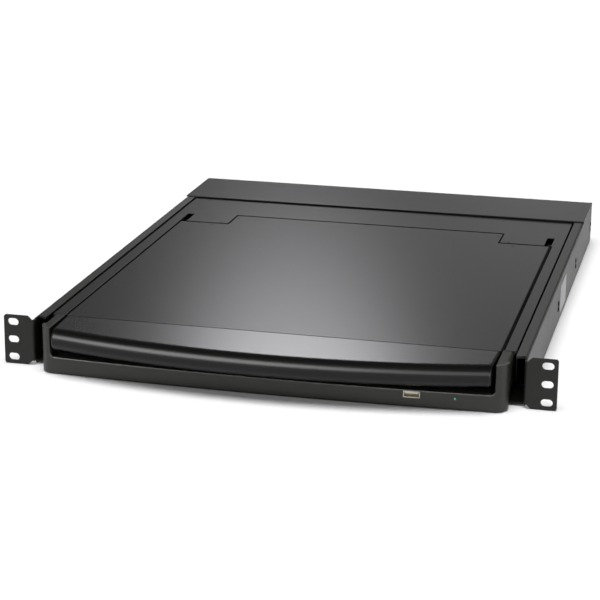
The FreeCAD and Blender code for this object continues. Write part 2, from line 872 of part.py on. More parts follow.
def drawer_tray():
    """Folded tray: floor, side walls that carry the inner slides, a low front wall and a rear wall."""
    behind_wall = tray_front + 2 * tray_sheet
    body = prism("XY", tray_plan(0), tray_floor, frame_underside)
    hollow = prism("XY", tray_plan(tray_sheet), tray_floor_top, frame_top)
    front_relief = block((-rack_width, rack_width), (tray_front - tray_sheet, rail_front),
                         (tray_floor + tray_front_wall, frame_top))
    way_top = frame_underside - cable_way_drop
    cable_way = prism("XZ", rectangle(centred(0, cable_way_width), (way_top - cable_way_height, way_top),
                                      cable_way_radius), tray_rear - 2 * tray_sheet, tray_rear + tray_sheet)
    port = block(centred(usb_x, usb_width + 2 * usb_gap), (tray_front - tray_sheet, behind_wall),
                 (usb_bottom - usb_gap, frame_top))
    lamp = rod("XZ", lamp_x, lamp_z, tray_front - tray_sheet, behind_wall, lamp_radius + 2 * lamp_gap)
    body = body.cut(hollow).cut(front_relief).cut(cable_way).cut(port).cut(lamp)
    for x in (board_left + board_inset, board_right - board_inset):
        for y in (board_front + board_inset, board_rear - board_inset):
            body = joined(body, rod("XY", x, y, tray_floor, tray_floor_top + stud_height, stud_radius))
    stud_y = usb_board_front() + usb_board_depth - usb_stud_radius
    for side in (-1, 1):
        stud_x = usb_x + side * (usb_board_half_width - usb_stud_inset)
        body = joined(body, rod("XY", stud_x, stud_y, tray_floor, usb_bottom - usb_board_sheet,
                                usb_stud_radius))
    return body


def top_frame():
    """Top sheet of the drawer: two rails and the rear deck in one piece, open round the lid."""
    corner_front = lid_corner_rear + corner_seam_gap
    tongue_side = lid_tongue_half_width + seam_gap
    tongue_front = lid_tongue_rear + seam_gap
    sheet = prism("XY", [(-rail_outer, rail_front), (-rail_inner, rail_front), (-rail_inner, corner_front),
                         (-tongue_side, corner_front), (-tongue_side, tongue_front),
                         (tongue_side, tongue_front), (tongue_side, corner_front),
                         (rail_inner, corner_front), (rail_inner, rail_front), (rail_outer, rail_front),
                         (rail_outer, frame_rear), (-rail_outer, frame_rear)], frame_underside, frame_top)
    slot_rear = hinge_y + hinge_slot_behind
    for side in (-1, 1):
        slot = block((side * hinge_slot_inner, side * hinge_slot_outer),
                     (corner_front - frame_sheet, slot_rear),
                     (frame_underside - frame_sheet, frame_top + frame_sheet))
        inner_lip = block((side * rail_inner, side * (rail_inner + frame_sheet)), (rail_front, lid_rear_wall),
                          (frame_top - rail_lip_depth, frame_top))
        edge_lip = block((side * (rail_outer - frame_sheet), side * rail_outer), (rail_front, frame_rear),
                         (frame_underside - rail_edge_lip, frame_top))
        sheet = joined(sheet.cut(slot), inner_lip, edge_lip)
    return sheet


def fascia_solid(inset, rear, low, high):
    """Solid with the fascia's plan, drawn in by the inset: a bowed front that turns into the sides."""
    half = fascia_half_width - inset
    body = block((-half, half), (fascia_front, rear), (low, high))
    drum = rod("XY", 0, fascia_centre_y, low, high, fascia_radius - inset)
    body = body.common(drum)
    corners = [edge for edge in body.Edges if edge.BoundBox.ZLength > (high - low) / 2
               and edge.BoundBox.YMax < rear - 0.001]
    return body.makeFillet(fascia_end_radius - inset, corners)


def is_fascia_bottom_edge(edge):
    """True for the outer bottom edges of the fascia, except the one at its rear."""
    box = edge.BoundBox
    return box.ZMax < fascia_bottom + 0.001 and box.YMin < fascia_rear - 0.001


def is_mouth_edge(edge):
    """True for the edges between the fascia's front face and the mouth that it leaves for the handle."""
    for vertex in edge.Vertexes:
        point = vertex.Point
        if abs(point.x) > rail_inner + 0.01 or point.z < fascia_edge - 0.01:
            return False
        face_y = fascia_centre_y - math.sqrt(fascia_radius ** 2 - point.x ** 2)
        if point.y > face_y + fascia_wall / 2:
            return False
    return True


def fascia():
    """Moulded front: a bowed lower strip that turns up into two posts, with a shelf and a lower lip."""
    face = fascia_solid(0, fascia_rear, fascia_bottom, fascia_top)
    face = face.makeFillet(fascia_bottom_round, [edge for edge in face.Edges if is_fascia_bottom_edge(edge)])
    face = face.cut(fascia_solid(fascia_wall, fascia_rear + fascia_wall, fascia_bottom - fascia_wall,
                                 fascia_top + fascia_wall))
    before = fascia_front - fascia_wall
    mouth = prism("XZ", [(-rail_inner, fascia_edge, fascia_corner_radius),
                         (rail_inner, fascia_edge, fascia_corner_radius),
                         (rail_inner, 2 * fascia_top), (-rail_inner, 2 * fascia_top)], before, fascia_rear)
    face = face.cut(mouth)
    face = face.makeFillet(fascia_front_round, [edge for edge in face.Edges if is_mouth_edge(edge)])
    behind = (fascia_wall + fascia_bottom_round) / 2
    shelf = fascia_solid(behind, fascia_rear, fascia_edge - shelf_wall, fascia_edge)
    shelf = shelf.common(block((-shelf_half_width, shelf_half_width), (before, fascia_rear), (0, fascia_top)))
    lip = fascia_solid(behind, fascia_rear, fascia_bottom, fascia_bottom + fascia_lip_sheet)
    port = prism("XZ", rectangle(centred(usb_x, usb_width + 2 * usb_gap),
                                 centred(usb_z, usb_height + 2 * usb_gap), usb_corner),
                 before, usb_front + usb_depth + usb_gap)
    lamp = rod("XZ", lamp_x, lamp_z, before, fascia_rear, lamp_radius + lamp_gap)
    return joined(face, shelf, lip).cut(port).cut(lamp)


def rail_cap():
    """Moulded cap between a fascia post and its rail, bevelled along its outer top edge."""
    top_end = fascia_half_width - cap_bevel
    low = deck_top + deck_side_gap
    front = fascia_rear + cap_gap
    rear = rail_front - cap_gap
    cap = prism("XZ", [(rail_inner, low), (fascia_half_width, low),
                       (fascia_half_width, fascia_top - cap_bevel, cap_bevel / 2),
                       (top_end, fascia_top, cap_bevel / 2), (rail_inner, fascia_top, cap_bevel / 4)],
                fascia_front, rear)
    inside_fascia = fascia_solid(fascia_wall + cap_gap, front + cap_gap, 0, fascia_top + cap_bevel)
    behind_fascia = block((0, fascia_half_width), (front, rear), (0, fascia_top + cap_bevel))
    cap = cap.common(joined(inside_fascia, behind_fascia))
    hollow = block((rail_inner + cap_wall, fascia_half_width - cap_wall), (front + cap_wall, rear - cap_wall),
                   (low - cap_wall, fascia_top - cap_roof))
    return cap.cut(hollow)


def row_front(index):
    """Front edge of a key row; the function row at the back stands a little apart."""
    extra = function_row_gap if index == 5 else 0
    return key_front + index * key_row_pitch + extra


def key_rows():
    """Six rows of tapered caps with square stems; widths are counted in key units, minus is a gap."""
    main_rows = (
        (1.25, 1.25, 1.25, 6.25, 1.25, 1.25, 1.25, 1.25),
        (2.25,) + (1,) * 10 + (2.75,),
        (1.75,) + (1,) * 11 + (2.25,),
        (1.5,) + (1,) * 12 + (1.5,),
        (1,) * 13 + (2,),
        (1, -1) + (1,) * 4 + (-0.5,) + (1,) * 4 + (-0.5,) + (1,) * 4,
    )
    number_rows = ((2, 1, 1),) + ((1,) * number_units,) * 5
    rows = []
    for index in range(len(main_rows)):
        front = row_front(index)
        keys = []
        for start, widths in ((key_left, main_rows[index]), (number_left, number_rows[index])):
            x = start
            for units in widths:
                span = abs(units) * key_unit
                if units > 0:
                    keys.append(key_cap((x, x + span), (front, front + key_row_pitch)))
                x += span
        rows.append(group(keys))
    return rows


def key_cap(x, y):
    """One cap over its cell: tapered skirt, with a stem that runs in the guide plate's groove."""
    half_gap = key_gap / 2
    cap = frustum((x[0] + half_gap, x[1] - half_gap), (y[0] + half_gap, y[1] - half_gap),
                  (key_skirt, key_top), key_taper)
    stem = block(centred((x[0] + x[1]) / 2, key_stem), centred((y[0] + y[1]) / 2, key_stem),
                 (key_stem_bottom, (key_skirt + key_top) / 2))
    return joined(cap, stem)


def key_plate():
    """Guide plate under the caps, with one groove for the stems of each row."""
    rear = row_front(5) + key_row_pitch
    plate = block((key_left - plate_margin, key_right + plate_margin),
                  (key_front - plate_margin, rear + plate_margin), (tray_floor_top, plate_top))
    for index in range(6):
        middle = row_front(index) + key_row_pitch / 2
        plate = plate.cut(block((key_left, key_right), centred(middle, key_stem + 2 * key_stem_gap),
                                (groove_floor, deck_top)))
    return plate


def deck_window(x, y, margin, radius, low):
    """Cutter for a window in the deck round the given space, down to a level."""
    return prism("XY", rectangle((x[0] - margin, x[1] + margin), (y[0] - margin, y[1] + margin), radius),
                 low, deck_top + deck_sheet)


def keyboard_deck():
    """Moulded deck round the keys: windows over the key blocks, a sunk pad and a button window."""
    shell = prism("YZ", [(deck_front, tray_floor_top), (deck_rear, tray_floor_top),
                         (deck_rear, deck_top, deck_edge_radius), (deck_front, deck_top, deck_edge_radius)],
                  -deck_half_width, deck_half_width)
    inner = deck_half_width - deck_skirt
    hollow = block((-inner, inner), (deck_front + deck_skirt, deck_rear - deck_skirt), (0, deck_underside))
    shell = shell.cut(hollow)
    through = deck_underside - deck_sheet
    main_rows_y = (row_front(0), row_front(5) - function_row_gap)
    function_row_y = (row_front(5), row_front(5) + key_row_pitch)
    for x in ((key_left, number_left - block_gap), (number_left, key_right)):
        for y in (main_rows_y, function_row_y):
            shell = shell.cut(deck_window(x, y, window_margin, window_radius, through))
    across = (-pad_half_width, pad_half_width)
    shell = shell.cut(deck_window(across, (pad_front, pad_rear), pad_button_gap,
                                  pad_corner_radius + pad_button_gap, deck_top - pad_recess - pad_sheet))
    shell = shell.cut(deck_window(across, (pad_button_front, pad_front - pad_button_setback), pad_button_gap,
                                  pad_button_radius + pad_button_gap, through))
    for x in lock_lamp_places():
        shell = shell.cut(rod("XY", x, deck_rear - lock_lamp_inset, through, deck_top + deck_sheet,
                              lock_lamp_radius + lock_lamp_gap))
    for side in (-1, 1):
        shell = joined(shell, bumper_post(side * bumper_x, bumper_rows[0], deck_underside))
    return shell


def lock_lamp_places():
    """X of the three lock lamps, centred behind the number block."""
    middle = number_left + number_units * key_unit / 2
    return [middle + step * lock_lamp_pitch for step in (-1, 0, 1)]


def lock_lamps():
    """Three round lenses in the deck behind the number block."""
    return group([rod("XY", x, deck_rear - lock_lamp_inset, deck_underside, deck_top + lock_lamp_stand,
                      lock_lamp_radius) for x in lock_lamp_places()])


def bumper_post(x, y, low):
    """Low boss that a lid bumper comes down on."""
    top = lid_bottom - bumper_height - bumper_gap
    return Part.makeCone(bumper_post_radius + bumper_taper, bumper_post_radius, top - low,
                         FreeCAD.Vector(x, y, low))


def touchpad():
    """Flat pad in its recess."""
    low = deck_top - pad_recess - pad_sheet
    return prism("XY", rectangle((-pad_half_width, pad_half_width), (pad_front, pad_rear), pad_corner_radius),
                 low, low + pad_sheet)


def pad_button(side):
    """One of the two pad buttons, in the window in front of the pad."""
    ends = sorted((side * pad_button_gap / 2, side * pad_half_width))
    top = deck_top + pad_button_stand
    return prism("XY", rectangle(ends, (pad_button_front, pad_front - pad_button_setback), pad_button_radius),
                 top - pad_button_height, top)


def electronics_cover():
    """Sheet cover over the control board, with rows of vent slots."""
    inner = deck_half_width - bay_sheet
    roof = bay_top - bay_sheet
    cover = block((-deck_half_width, deck_half_width), (bay_front, bay_rear), (tray_floor_top, bay_top))
    cover = cover.cut(block((-inner, inner), (bay_front + bay_sheet, bay_rear - bay_sheet), (0, roof)))
    first = board_left + bay_vent_margin
    pitch = (board_right - bay_vent_margin - first) / (bay_vent_count - 1)
    for row in range(bay_vent_rows):
        y = (board_front + board_rear) / 2 + (row - (bay_vent_rows - 1) / 2) * bay_vent_row_pitch
        for i in range(bay_vent_count):
            cover = cover.cut(block(centred(first + i * pitch, bay_vent_width), centred(y, bay_vent_length),
                                    (roof - bay_sheet, bay_top + bay_sheet)))
    for side in (-1, 1):
        cover = joined(cover, bumper_post(side * bumper_x, bumper_rows[1], roof))
    return cover


def control_board():
    """Control board on four studs, with its larger parts."""
    low = tray_floor_top + stud_height
    top = low + board_sheet
    middle_y = (board_front + board_rear) / 2
    chip_x = board_left + chip_inset
    board = block((board_left, board_right), (board_front, board_rear), (low, top))
    chip = block(centred(chip_x, chip_size), centred(middle_y, chip_size), (top, top + chip_height))
    small_chip = block(centred(chip_x + chip_step, small_chip_size),
                       centred(middle_y + small_chip_offset, small_chip_size), (top, top + chip_height))
    row_rear = board_rear - socket_row_inset
    socket_row = block((board_left + socket_row_margin, board_right - socket_row_margin),
                       (row_rear - socket_row_depth, row_rear), (top, top + socket_row_height))
    return joined(board, chip, small_chip, socket_row)


def usb_shell():
    """Folded metal shell of the port, open in front."""
    shell = prism("XZ", rectangle(centred(usb_x, usb_width), centred(usb_z, usb_height), usb_corner),
                  usb_front, usb_front + usb_depth)
    bore = prism("XZ", rectangle(centred(usb_x, usb_width - 2 * usb_wall),
                                 centred(usb_z, usb_height - 2 * usb_wall), usb_corner - usb_wall),
                 usb_front - usb_wall, usb_front + usb_depth - usb_wall)
    return shell.cut(bore)


def usb_tongue():
    """Contact tongue in the upper half of the shell, on its back block."""
    back = usb_front + usb_depth - usb_wall
    inset = 2 * (usb_wall + usb_fit)
    back_block = block(centred(usb_x, usb_width - inset), (back - usb_block_depth, back),
                       centred(usb_z, usb_height - inset))
    low = usb_z + usb_tongue_rise
    tongue = block(centred(usb_x, usb_tongue_width), (usb_front + usb_tongue_setback, back),
                   (low, low + usb_tongue_sheet))
    return joined(back_block, tongue)


def usb_board_front():
    """Front edge of the port's board, behind the tray's front wall."""
    return tray_front + tray_sheet + usb_gap


def usb_board():
    """Small board that carries the port and the power lamp."""
    front = usb_board_front()
    return block((usb_x - usb_board_half_width, lamp_x + lamp_board_margin), (front, front + usb_board_depth),
                 (usb_bottom - usb_board_sheet, usb_bottom))


def power_lamp():
    """Round lens of the power lamp with its lead block on the board."""
    back = lamp_front + lamp_length
    lens = rod("XZ", lamp_x, lamp_z, lamp_front, back, lamp_radius)
    holder = block(centred(lamp_x, lamp_holder_width), (back, back + lamp_holder_depth),
                   (usb_bottom, lamp_z + lamp_holder_width / 2))
    return joined(lens, holder)


# Lid

def is_lid_long_edge(edge):
    """True for the two long top edges of the lid."""
    box = edge.BoundBox
    at_side = abs(abs(box.XMin) - lid_half_width) < 0.001 and box.XLength < 0.001
    return at_side and box.YLength > screen_depth and abs(box.ZMin - lid_top) < 0.001


def lid_cover():
    """Lid pan: top sheet with side walls, a rear wall set in for the swing, and the rear tongue."""
    tongue = lid_tongue_half_width
    top = prism("XY", [(-lid_half_width, lid_front), (lid_half_width, lid_front),
                       (lid_half_width, lid_corner_rear), (tongue, lid_corner_rear),
                       (tongue, lid_tongue_rear), (-tongue, lid_tongue_rear), (-tongue, lid_corner_rear),
                       (-lid_half_width, lid_corner_rear)], lid_underside, lid_top)
    wall_front = lid_rear_wall - lid_sheet
    walls = block((-lid_half_width, lid_half_width), (lid_front, lid_rear_wall), (lid_bottom, lid_underside))
    hollow = block((-lid_inner_half, lid_inner_half), (lid_front - lid_sheet, wall_front), (0, lid_underside))
    pan = joined(top, walls.cut(hollow))
    pan = pan.makeFillet(lid_edge_radius, [edge for edge in pan.Edges if is_lid_long_edge(edge)])
    slit_height = 2 * (hinge_arm_half_height + hinge_slit_gap)
    for side in (-1, 1):
        pan = pan.cut(block((side * (arm_inner - hinge_slit_gap), side * arm_outer),
                            (wall_front - lid_sheet, lid_rear_wall + lid_sheet),
                            centred(hinge_z, slit_height)))
    return pan


def bow_solid(inset, rear):
    """Revolved bull-nose section: flat top and bottom, half-round front, carried round the bow."""
    radius = nose_radius - inset
    back_y = rear + nose_radius
    inner = bow_centre_y - back_y
    low = nose_middle_z - radius
    high = nose_middle_z + radius
    start = FreeCAD.Vector(0, back_y, low)
    bottom = FreeCAD.Vector(0, nose_middle_y, low)
    tip = FreeCAD.Vector(0, nose_middle_y - radius, nose_middle_z)
    top = FreeCAD.Vector(0, nose_middle_y, high)
    end = FreeCAD.Vector(0, back_y, high)
    section = Part.Wire([Part.makeLine(start, bottom), Part.Arc(bottom, tip, top).toShape(),
                         Part.makeLine(top, end), Part.makeLine(end, start)])
    centre = FreeCAD.Vector(0, bow_centre_y, 0)
    upright = FreeCAD.Vector(0, 0, 1)
    half_turn = math.degrees(math.asin((handle_half_width + nose_radius) / inner))
    face = Part.Face(section)
    face.rotate(centre, upright, -half_turn)
    solid = face.revolve(centre, upright, 2 * half_turn)
    front = nose_front - nose_radius
    plan = prism("XY", [(inset - handle_half_width, rear), (inset - handle_nose_half_width, front),
                        (handle_nose_half_width - inset, front), (handle_half_width - inset, rear)],
                 0, 2 * handle_top)
    return solid.common(plan)


def is_handle_end_edge(edge):
    """True for the edges round the two ends of the handle, except the upright ones at its rear."""
    box = edge.BoundBox
    at_end = min(abs(box.XMin), abs(box.XMax)) > handle_nose_half_width - handle_side_step
    return at_end and (box.YMax < handle_rear - 0.001 or box.YLength > handle_end_radius)


def handle():
    """Bowed handle with a bull nose, hollow and ribbed inside, with a tongue under the lid sheet."""
    bar = bow_solid(0, handle_rear)
    bar = bar.makeFillet(handle_end_radius, [edge for edge in bar.Edges if is_handle_end_edge(edge)])
    cavity = bow_solid(handle_wall, handle_rear + handle_wall)
    spacing = 2 * handle_half_width / (handle_ribs + 1)
    for i in range(handle_ribs):
        x = (i + 1) * spacing - handle_half_width
        cavity = cavity.cut(block(centred(x, handle_rib_wall), (nose_front, lid_rear_wall), (0, handle_top)))
    tongue_half = lid_inner_half - handle_tongue_inset
    tongue = block((-tongue_half, tongue_half),
                   (handle_rear - 2 * handle_wall, handle_rear + handle_tongue_depth),
                   (lid_underside - handle_tongue_sheet, lid_underside))
    return joined(bar.cut(cavity), tongue)


def screen_button_places():
    """X of the screen buttons, centred on the lid."""
    first = -screen_button_pitch * (screen_button_count - 1) / 2
    return [first + i * screen_button_pitch for i in range(screen_button_count)]


def screen_button_bar(x, margin, low, high):
    """Pill-shaped bar at a screen button's place, larger than the button by a margin all round."""
    return obround("XY", x, screen_button_y, screen_button_length + 2 * margin,
                   screen_button_width + 2 * margin, low, high)


def screen_button(x):
    """Pill-shaped button through the bezel, kept in by a flange above it."""
    seat = bezel_top + screen_button_gap
    top = seat + screen_button_flange
    stem = screen_button_bar(x, 0, lid_bottom - screen_button_stand, top)
    flange = screen_button_bar(x, screen_button_flange_margin, seat, top)
    return joined(stem, flange)


def lcd_bezel():
    """Frame under the lid, with a bevelled window for the screen and holes for the buttons."""
    half = lid_inner_half - bezel_gap
    rear = lid_rear_wall - lid_sheet - bezel_gap
    frame = block((-half, half), (lid_front, rear), (lid_bottom, bezel_top))
    window = frustum(centred(0, screen_width + 2 * bezel_bevel),
                     centred(screen_centre_y, screen_depth + 2 * bezel_bevel), (lid_bottom, bezel_top),
                     bezel_bevel)
    frame = frame.cut(window)
    for x in screen_button_places():
        frame = frame.cut(screen_button_bar(x, screen_button_gap, 0, lid_top))
    return frame


def lcd_glass():
    """Cover glass on the back of the bezel."""
    return block(centred(0, screen_width + 2 * glass_margin),
                 centred(screen_centre_y, screen_depth + 2 * glass_margin), (bezel_top, glass_top))


def lcd_module():
    """Panel module behind the glass: a shallow metal-framed block, stepped at its back."""
    base = block(centred(0, screen_width + 2 * screen_frame),
                 centred(screen_centre_y, screen_depth + 2 * screen_frame_depth),
                 (glass_top, glass_top + module_height / 2))
    back = block(centred(0, screen_width), centred(screen_centre_y, screen_depth),
                 (glass_top, glass_top + module_height))
    return joined(base, back)


def hinge_arm():
    """Arm on the lid's side wall that reaches back to the pivot eye."""
    front = lid_rear_wall - hinge_arm_length
    low, high = centred(hinge_z, 2 * hinge_arm_half_height)
    plate = prism("YZ", [(front, low, hinge_arm_round), (hinge_y, low), (hinge_y, high),
                         (front, high, hinge_arm_round)], arm_inner, arm_outer)
    eye = rod("YZ", hinge_y, hinge_z, arm_inner, bracket_inner - bracket_gap, hinge_eye_radius)
    bore = rod("YZ", hinge_y, hinge_z, 0, bracket_outer, hinge_pin_radius + hinge_pin_clearance)
    return joined(plate, eye).cut(bore)


def hinge_bracket():
    """Bracket on the tray floor: a cheek that narrows to the pivot, with a foot turned outwards."""
    crown = hinge_eye_radius + bracket_crown
    front, rear = centred(hinge_y, 2 * bracket_reach)
    cheek = prism("YZ", [(front, tray_floor_top), (rear, tray_floor_top),
                         (hinge_y + crown, hinge_z + crown, bracket_corner_radius),
                         (hinge_y - crown, hinge_z + crown, bracket_corner_radius)],
                  bracket_inner, bracket_outer)
    foot = block((bracket_inner, deck_half_width), (front, rear),
                 (tray_floor_top, tray_floor_top + bracket_foot))
    bore = rod("YZ", hinge_y, hinge_z, 0, case_half_width, hinge_pin_radius)
    return joined(cheek, foot).cut(bore)


def hinge_pins():
    """Two headed pivot pins, fixed in the brackets, that the arms turn on."""
    head_face = arm_inner - hinge_pin_play
    shank = rod("YZ", hinge_y, hinge_z, head_face, bracket_outer, hinge_pin_radius)
    head = rod("YZ", hinge_y, hinge_z, head_face - pin_head_height, head_face, pin_head_radius)
    pin = joined(shank, head)
    return group([pin, mirrored(pin)])


def lid_bumpers():
    """Four tapered rubber bumpers under the bezel."""
    low = lid_bottom - bumper_height
    return group([Part.makeCone(bumper_radius - bumper_taper, bumper_radius, bumper_height,
                                FreeCAD.Vector(side * bumper_x, y, low))
                  for side in (-1, 1) for y in bumper_rows])


right_side = side_channel()
slide_outer, slide_middle, slide_inner = slide_set()
cap = rail_cap()
arm = hinge_arm()
bracket = hinge_bracket()

nodes = {
    "side_right": right_side,
    "side_left": mirrored(right_side),
    "base_pan": base_pan(),
    "rear_cover": rear_cover(),
    "rear_panel": rear_panel(),
    "power_inlet": power_inlet(),
    "switch_housing": switch_housing(),
    "power_rocker": rocker(),
    "console_port": console_port(),
    "power_supply": power_supply(),
    "slide_outer_right": slide_outer,
    "slide_outer_left": mirrored(slide_outer),
    "slide_middle_right": slide_middle,
    "slide_middle_left": mirrored(slide_middle),
    "slide_inner_right": slide_inner,
    "slide_inner_left": mirrored(slide_inner),
    "slide_rivets": slide_rivets(),
    "cover_screws": cover_screws(),
    "drawer_tray": drawer_tray(),
    "drawer_top_frame": top_frame(),
    "front_fascia": fascia(),
    "rail_cap_right": cap,
    "rail_cap_left": mirrored(cap),
    "key_guide_plate": key_plate(),
    "keyboard_deck": keyboard_deck(),
    "lock_lamps": lock_lamps(),
    "touchpad": touchpad(),
    "pad_button_left": pad_button(-1),
    "pad_button_right": pad_button(1),
    "electronics_cover": electronics_cover(),
    "control_board": control_board(),
    "usb_shell": usb_shell(),
    "usb_tongue": usb_tongue(),
    "usb_board": usb_board(),
    "power_lamp": power_lamp(),
    "hinge_bracket_right": bracket,
    "hinge_bracket_left": mirrored(bracket),
    "hinge_pins": hinge_pins(),
    "lid_cover": lid_cover(),
    "lid_handle": handle(),
    "lcd_bezel": lcd_bezel(),
    "lcd_glass": lcd_glass(),
    "lcd_module": lcd_module(),
    "hinge_arm_right": arm,
    "hinge_arm_left": mirrored(arm),
    "lid_bumpers": lid_bumpers(),
}
for index, row in enumerate(key_rows()):
    nodes["key_row_" + str(index + 1)] = row
for index, x in enumerate(screen_button_places()):
    nodes["screen_button_" + str(index + 1)] = screen_button(x)

os.makedirs("parts", exist_ok=True)
for name, shape in nodes.items():
    shape.translate(FreeCAD.Vector(0, -origin_y, 0))
    shape.exportStep("parts/" + name + ".step")
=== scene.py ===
import bmesh
import bpy
import math
import numpy as np
from mathutils import Matrix


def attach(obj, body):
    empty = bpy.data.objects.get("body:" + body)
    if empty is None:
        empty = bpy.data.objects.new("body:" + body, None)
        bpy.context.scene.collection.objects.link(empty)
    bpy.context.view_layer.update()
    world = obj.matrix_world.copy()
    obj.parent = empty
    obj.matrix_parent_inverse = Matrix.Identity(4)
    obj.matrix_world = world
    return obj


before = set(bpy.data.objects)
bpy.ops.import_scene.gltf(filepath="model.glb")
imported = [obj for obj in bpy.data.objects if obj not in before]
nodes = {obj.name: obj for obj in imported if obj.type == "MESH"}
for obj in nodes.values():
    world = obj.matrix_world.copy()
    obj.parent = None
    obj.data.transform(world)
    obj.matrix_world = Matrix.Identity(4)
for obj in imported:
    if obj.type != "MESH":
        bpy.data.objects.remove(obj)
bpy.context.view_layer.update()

MM = 0.001


# ---- camera and stage ----

CAMERA_PLACE = (0.38903, -1.77196, 0.55065)
CAMERA_AZIMUTH = math.radians(13.52)
CAMERA_ELEVATION = math.radians(16.57)
CAMERA_ROLL = math.radians(0.51)
PICTURE_WIDTH = 600
FOCAL_PIXELS = 1956.3
MIDDLE_PIXEL = (299.67, 291.65)
SENSOR_WIDTH = 36.0


def add_camera():
    """Camera at the photograph's angle, its lens and shift worked out from the picture's own pixels."""
    data = bpy.data.cameras.new("camera")
    data.sensor_width = SENSOR_WIDTH
    data.lens = FOCAL_PIXELS / PICTURE_WIDTH * SENSOR_WIDTH
    data.shift_x = (PICTURE_WIDTH / 2 - MIDDLE_PIXEL[0]) / PICTURE_WIDTH
    data.shift_y = (MIDDLE_PIXEL[1] - PICTURE_WIDTH / 2) / PICTURE_WIDTH
    data.clip_end = 100
    camera = bpy.data.objects.new("camera", data)
    turn = Matrix.Rotation(CAMERA_AZIMUTH, 4, "Z")
    turn = turn @ Matrix.Rotation(math.pi / 2 - CAMERA_ELEVATION, 4, "X")
    turn = turn @ Matrix.Rotation(CAMERA_ROLL, 4, "Z")
    camera.matrix_world = Matrix.Translation(CAMERA_PLACE) @ turn
    bpy.context.scene.collection.objects.link(camera)
    bpy.context.scene.camera = camera


def link(tree, source, target):
    """Join an output socket to an input socket."""
    tree.links.new(source, target)


def node(tree, kind, **values):
    """A node of that kind, with its properties set by name."""
    new = tree.nodes.new(kind)
    for name, value in values.items():
        setattr(new, name, value)
    return new


def math_node(tree, operation, first, second=None):
    """Math node on one or two numbers or sockets; returns its output socket."""
    new = node(tree, "ShaderNodeMath", operation=operation)
    for socket, value in zip(new.inputs, (first, second)):
        if value is None:
            continue
        if hasattr(value, "links"):
            link(tree, value, socket)
        else:
            socket.default_value = value
    return new.outputs[0]


def blend_colour(tree, mask, low, high):
    """Colour that goes from low to high with the mask."""
    mix = node(tree, "ShaderNodeMix", data_type="RGBA")
    mix.inputs[6].default_value = (*low, 1)
    mix.inputs[7].default_value = (*high, 1)
    link(tree, mask, mix.inputs[0])
    return mix.outputs[2]


def new_group(name, inputs, outputs):
    """Shader node group with float, vector or colour sockets; returns the tree and its two end nodes."""
    tree = bpy.data.node_groups.new(name, "ShaderNodeTree")
    for label, kind, value in inputs:
        socket = tree.interface.new_socket(name=label, in_out="INPUT", socket_type="NodeSocket" + kind)
        if value is not None:
            socket.default_value = value
    for label, kind in outputs:
        tree.interface.new_socket(name=label, in_out="OUTPUT", socket_type="NodeSocket" + kind)
    return tree, tree.nodes.new("NodeGroupInput"), tree.nodes.new("NodeGroupOutput")


def soft_patch_group():
    """Bright patch of the surroundings: strength times e to the minus squared distance from its middle,
    the distance counted in half-widths across and half-heights up."""
    tree, given, result = new_group("soft patch", (
        ("Direction", "Vector", None), ("Azimuth", "Float", 0.0), ("Elevation", "Float", 0.0),
        ("Half width", "Float", 0.1), ("Half height", "Float", 0.1), ("Strength", "Float", 1.0)),
        (("Light", "Float"),))
    parts = node(tree, "ShaderNodeSeparateXYZ")
    link(tree, given.outputs["Direction"], parts.inputs[0])
    azimuth = math_node(tree, "ARCTAN2", parts.outputs[0], parts.outputs[1])
    elevation = math_node(tree, "ARCSINE", parts.outputs[2])
    wrapped = node(tree, "ShaderNodeMath", operation="WRAP")
    link(tree, math_node(tree, "SUBTRACT", azimuth, given.outputs["Azimuth"]), wrapped.inputs[0])
    wrapped.inputs[1].default_value = math.pi
    wrapped.inputs[2].default_value = -math.pi
    across = math_node(tree, "DIVIDE", wrapped.outputs[0], given.outputs["Half width"])
    up = math_node(tree, "DIVIDE", math_node(tree, "SUBTRACT", elevation, given.outputs["Elevation"]),
                   given.outputs["Half height"])
    squared = math_node(tree, "ADD", math_node(tree, "MULTIPLY", across, across),
                        math_node(tree, "MULTIPLY", up, up))
    fall = math_node(tree, "EXPONENT", math_node(tree, "MULTIPLY", squared, -1.0))
    link(tree, math_node(tree, "MULTIPLY", fall, given.outputs["Strength"]), result.inputs["Light"])
    return tree


# Azimuth from the rear towards the right, elevation, half width, half height, all in degrees; strength
STUDIO_PATCHES = (
    ("pale wing", -6.0, 12.0, 5.0, 7.0, 0.58),
    ("right light", 112.0, 10.0, 14.0, 14.0, 11.0),
    ("shade behind", -13.5, 15.0, 60.0, 45.0, -0.77),
    ("shade in front", 180.0, 12.0, 70.0, 16.0, -0.5),
    ("dark ceiling", 0.0, 90.0, 2000.0, 60.0, -1.4),
)
FRONT_PIECES = ("lid_handle", "front_fascia")
# Azimuth, elevation, half width, half height as above; radiance, colour, the pieces that it is kept to
SOFTBOXES = (
    ("softbox behind", -14.3, 26.6, 5.2, 8.5, 2.95, (0.98, 0.965, 1.0), ()),
    ("front light", -150.0, 30.0, 28.0, 16.0, 8.0, (1.0, 1.0, 1.0), FRONT_PIECES),
    ("front fill", -175.0, 30.0, 50.0, 16.0, 3.8, (1.0, 1.0, 1.0), FRONT_PIECES),
)
SOFTBOX_AWAY = 5.0
ROOM_LIGHT = 0.10
LAMP_ANGLE = math.radians(40)
LAMP_STRENGTH = 3.05
LAMP_LEAN = (math.radians(9.5), math.radians(1.0))
FLOOR_COLOUR = 0.93
FLOOR_LIFT = 0.06
FLOOR_HALF = 30.0
FLOOR_DROP = 0.3 * MM


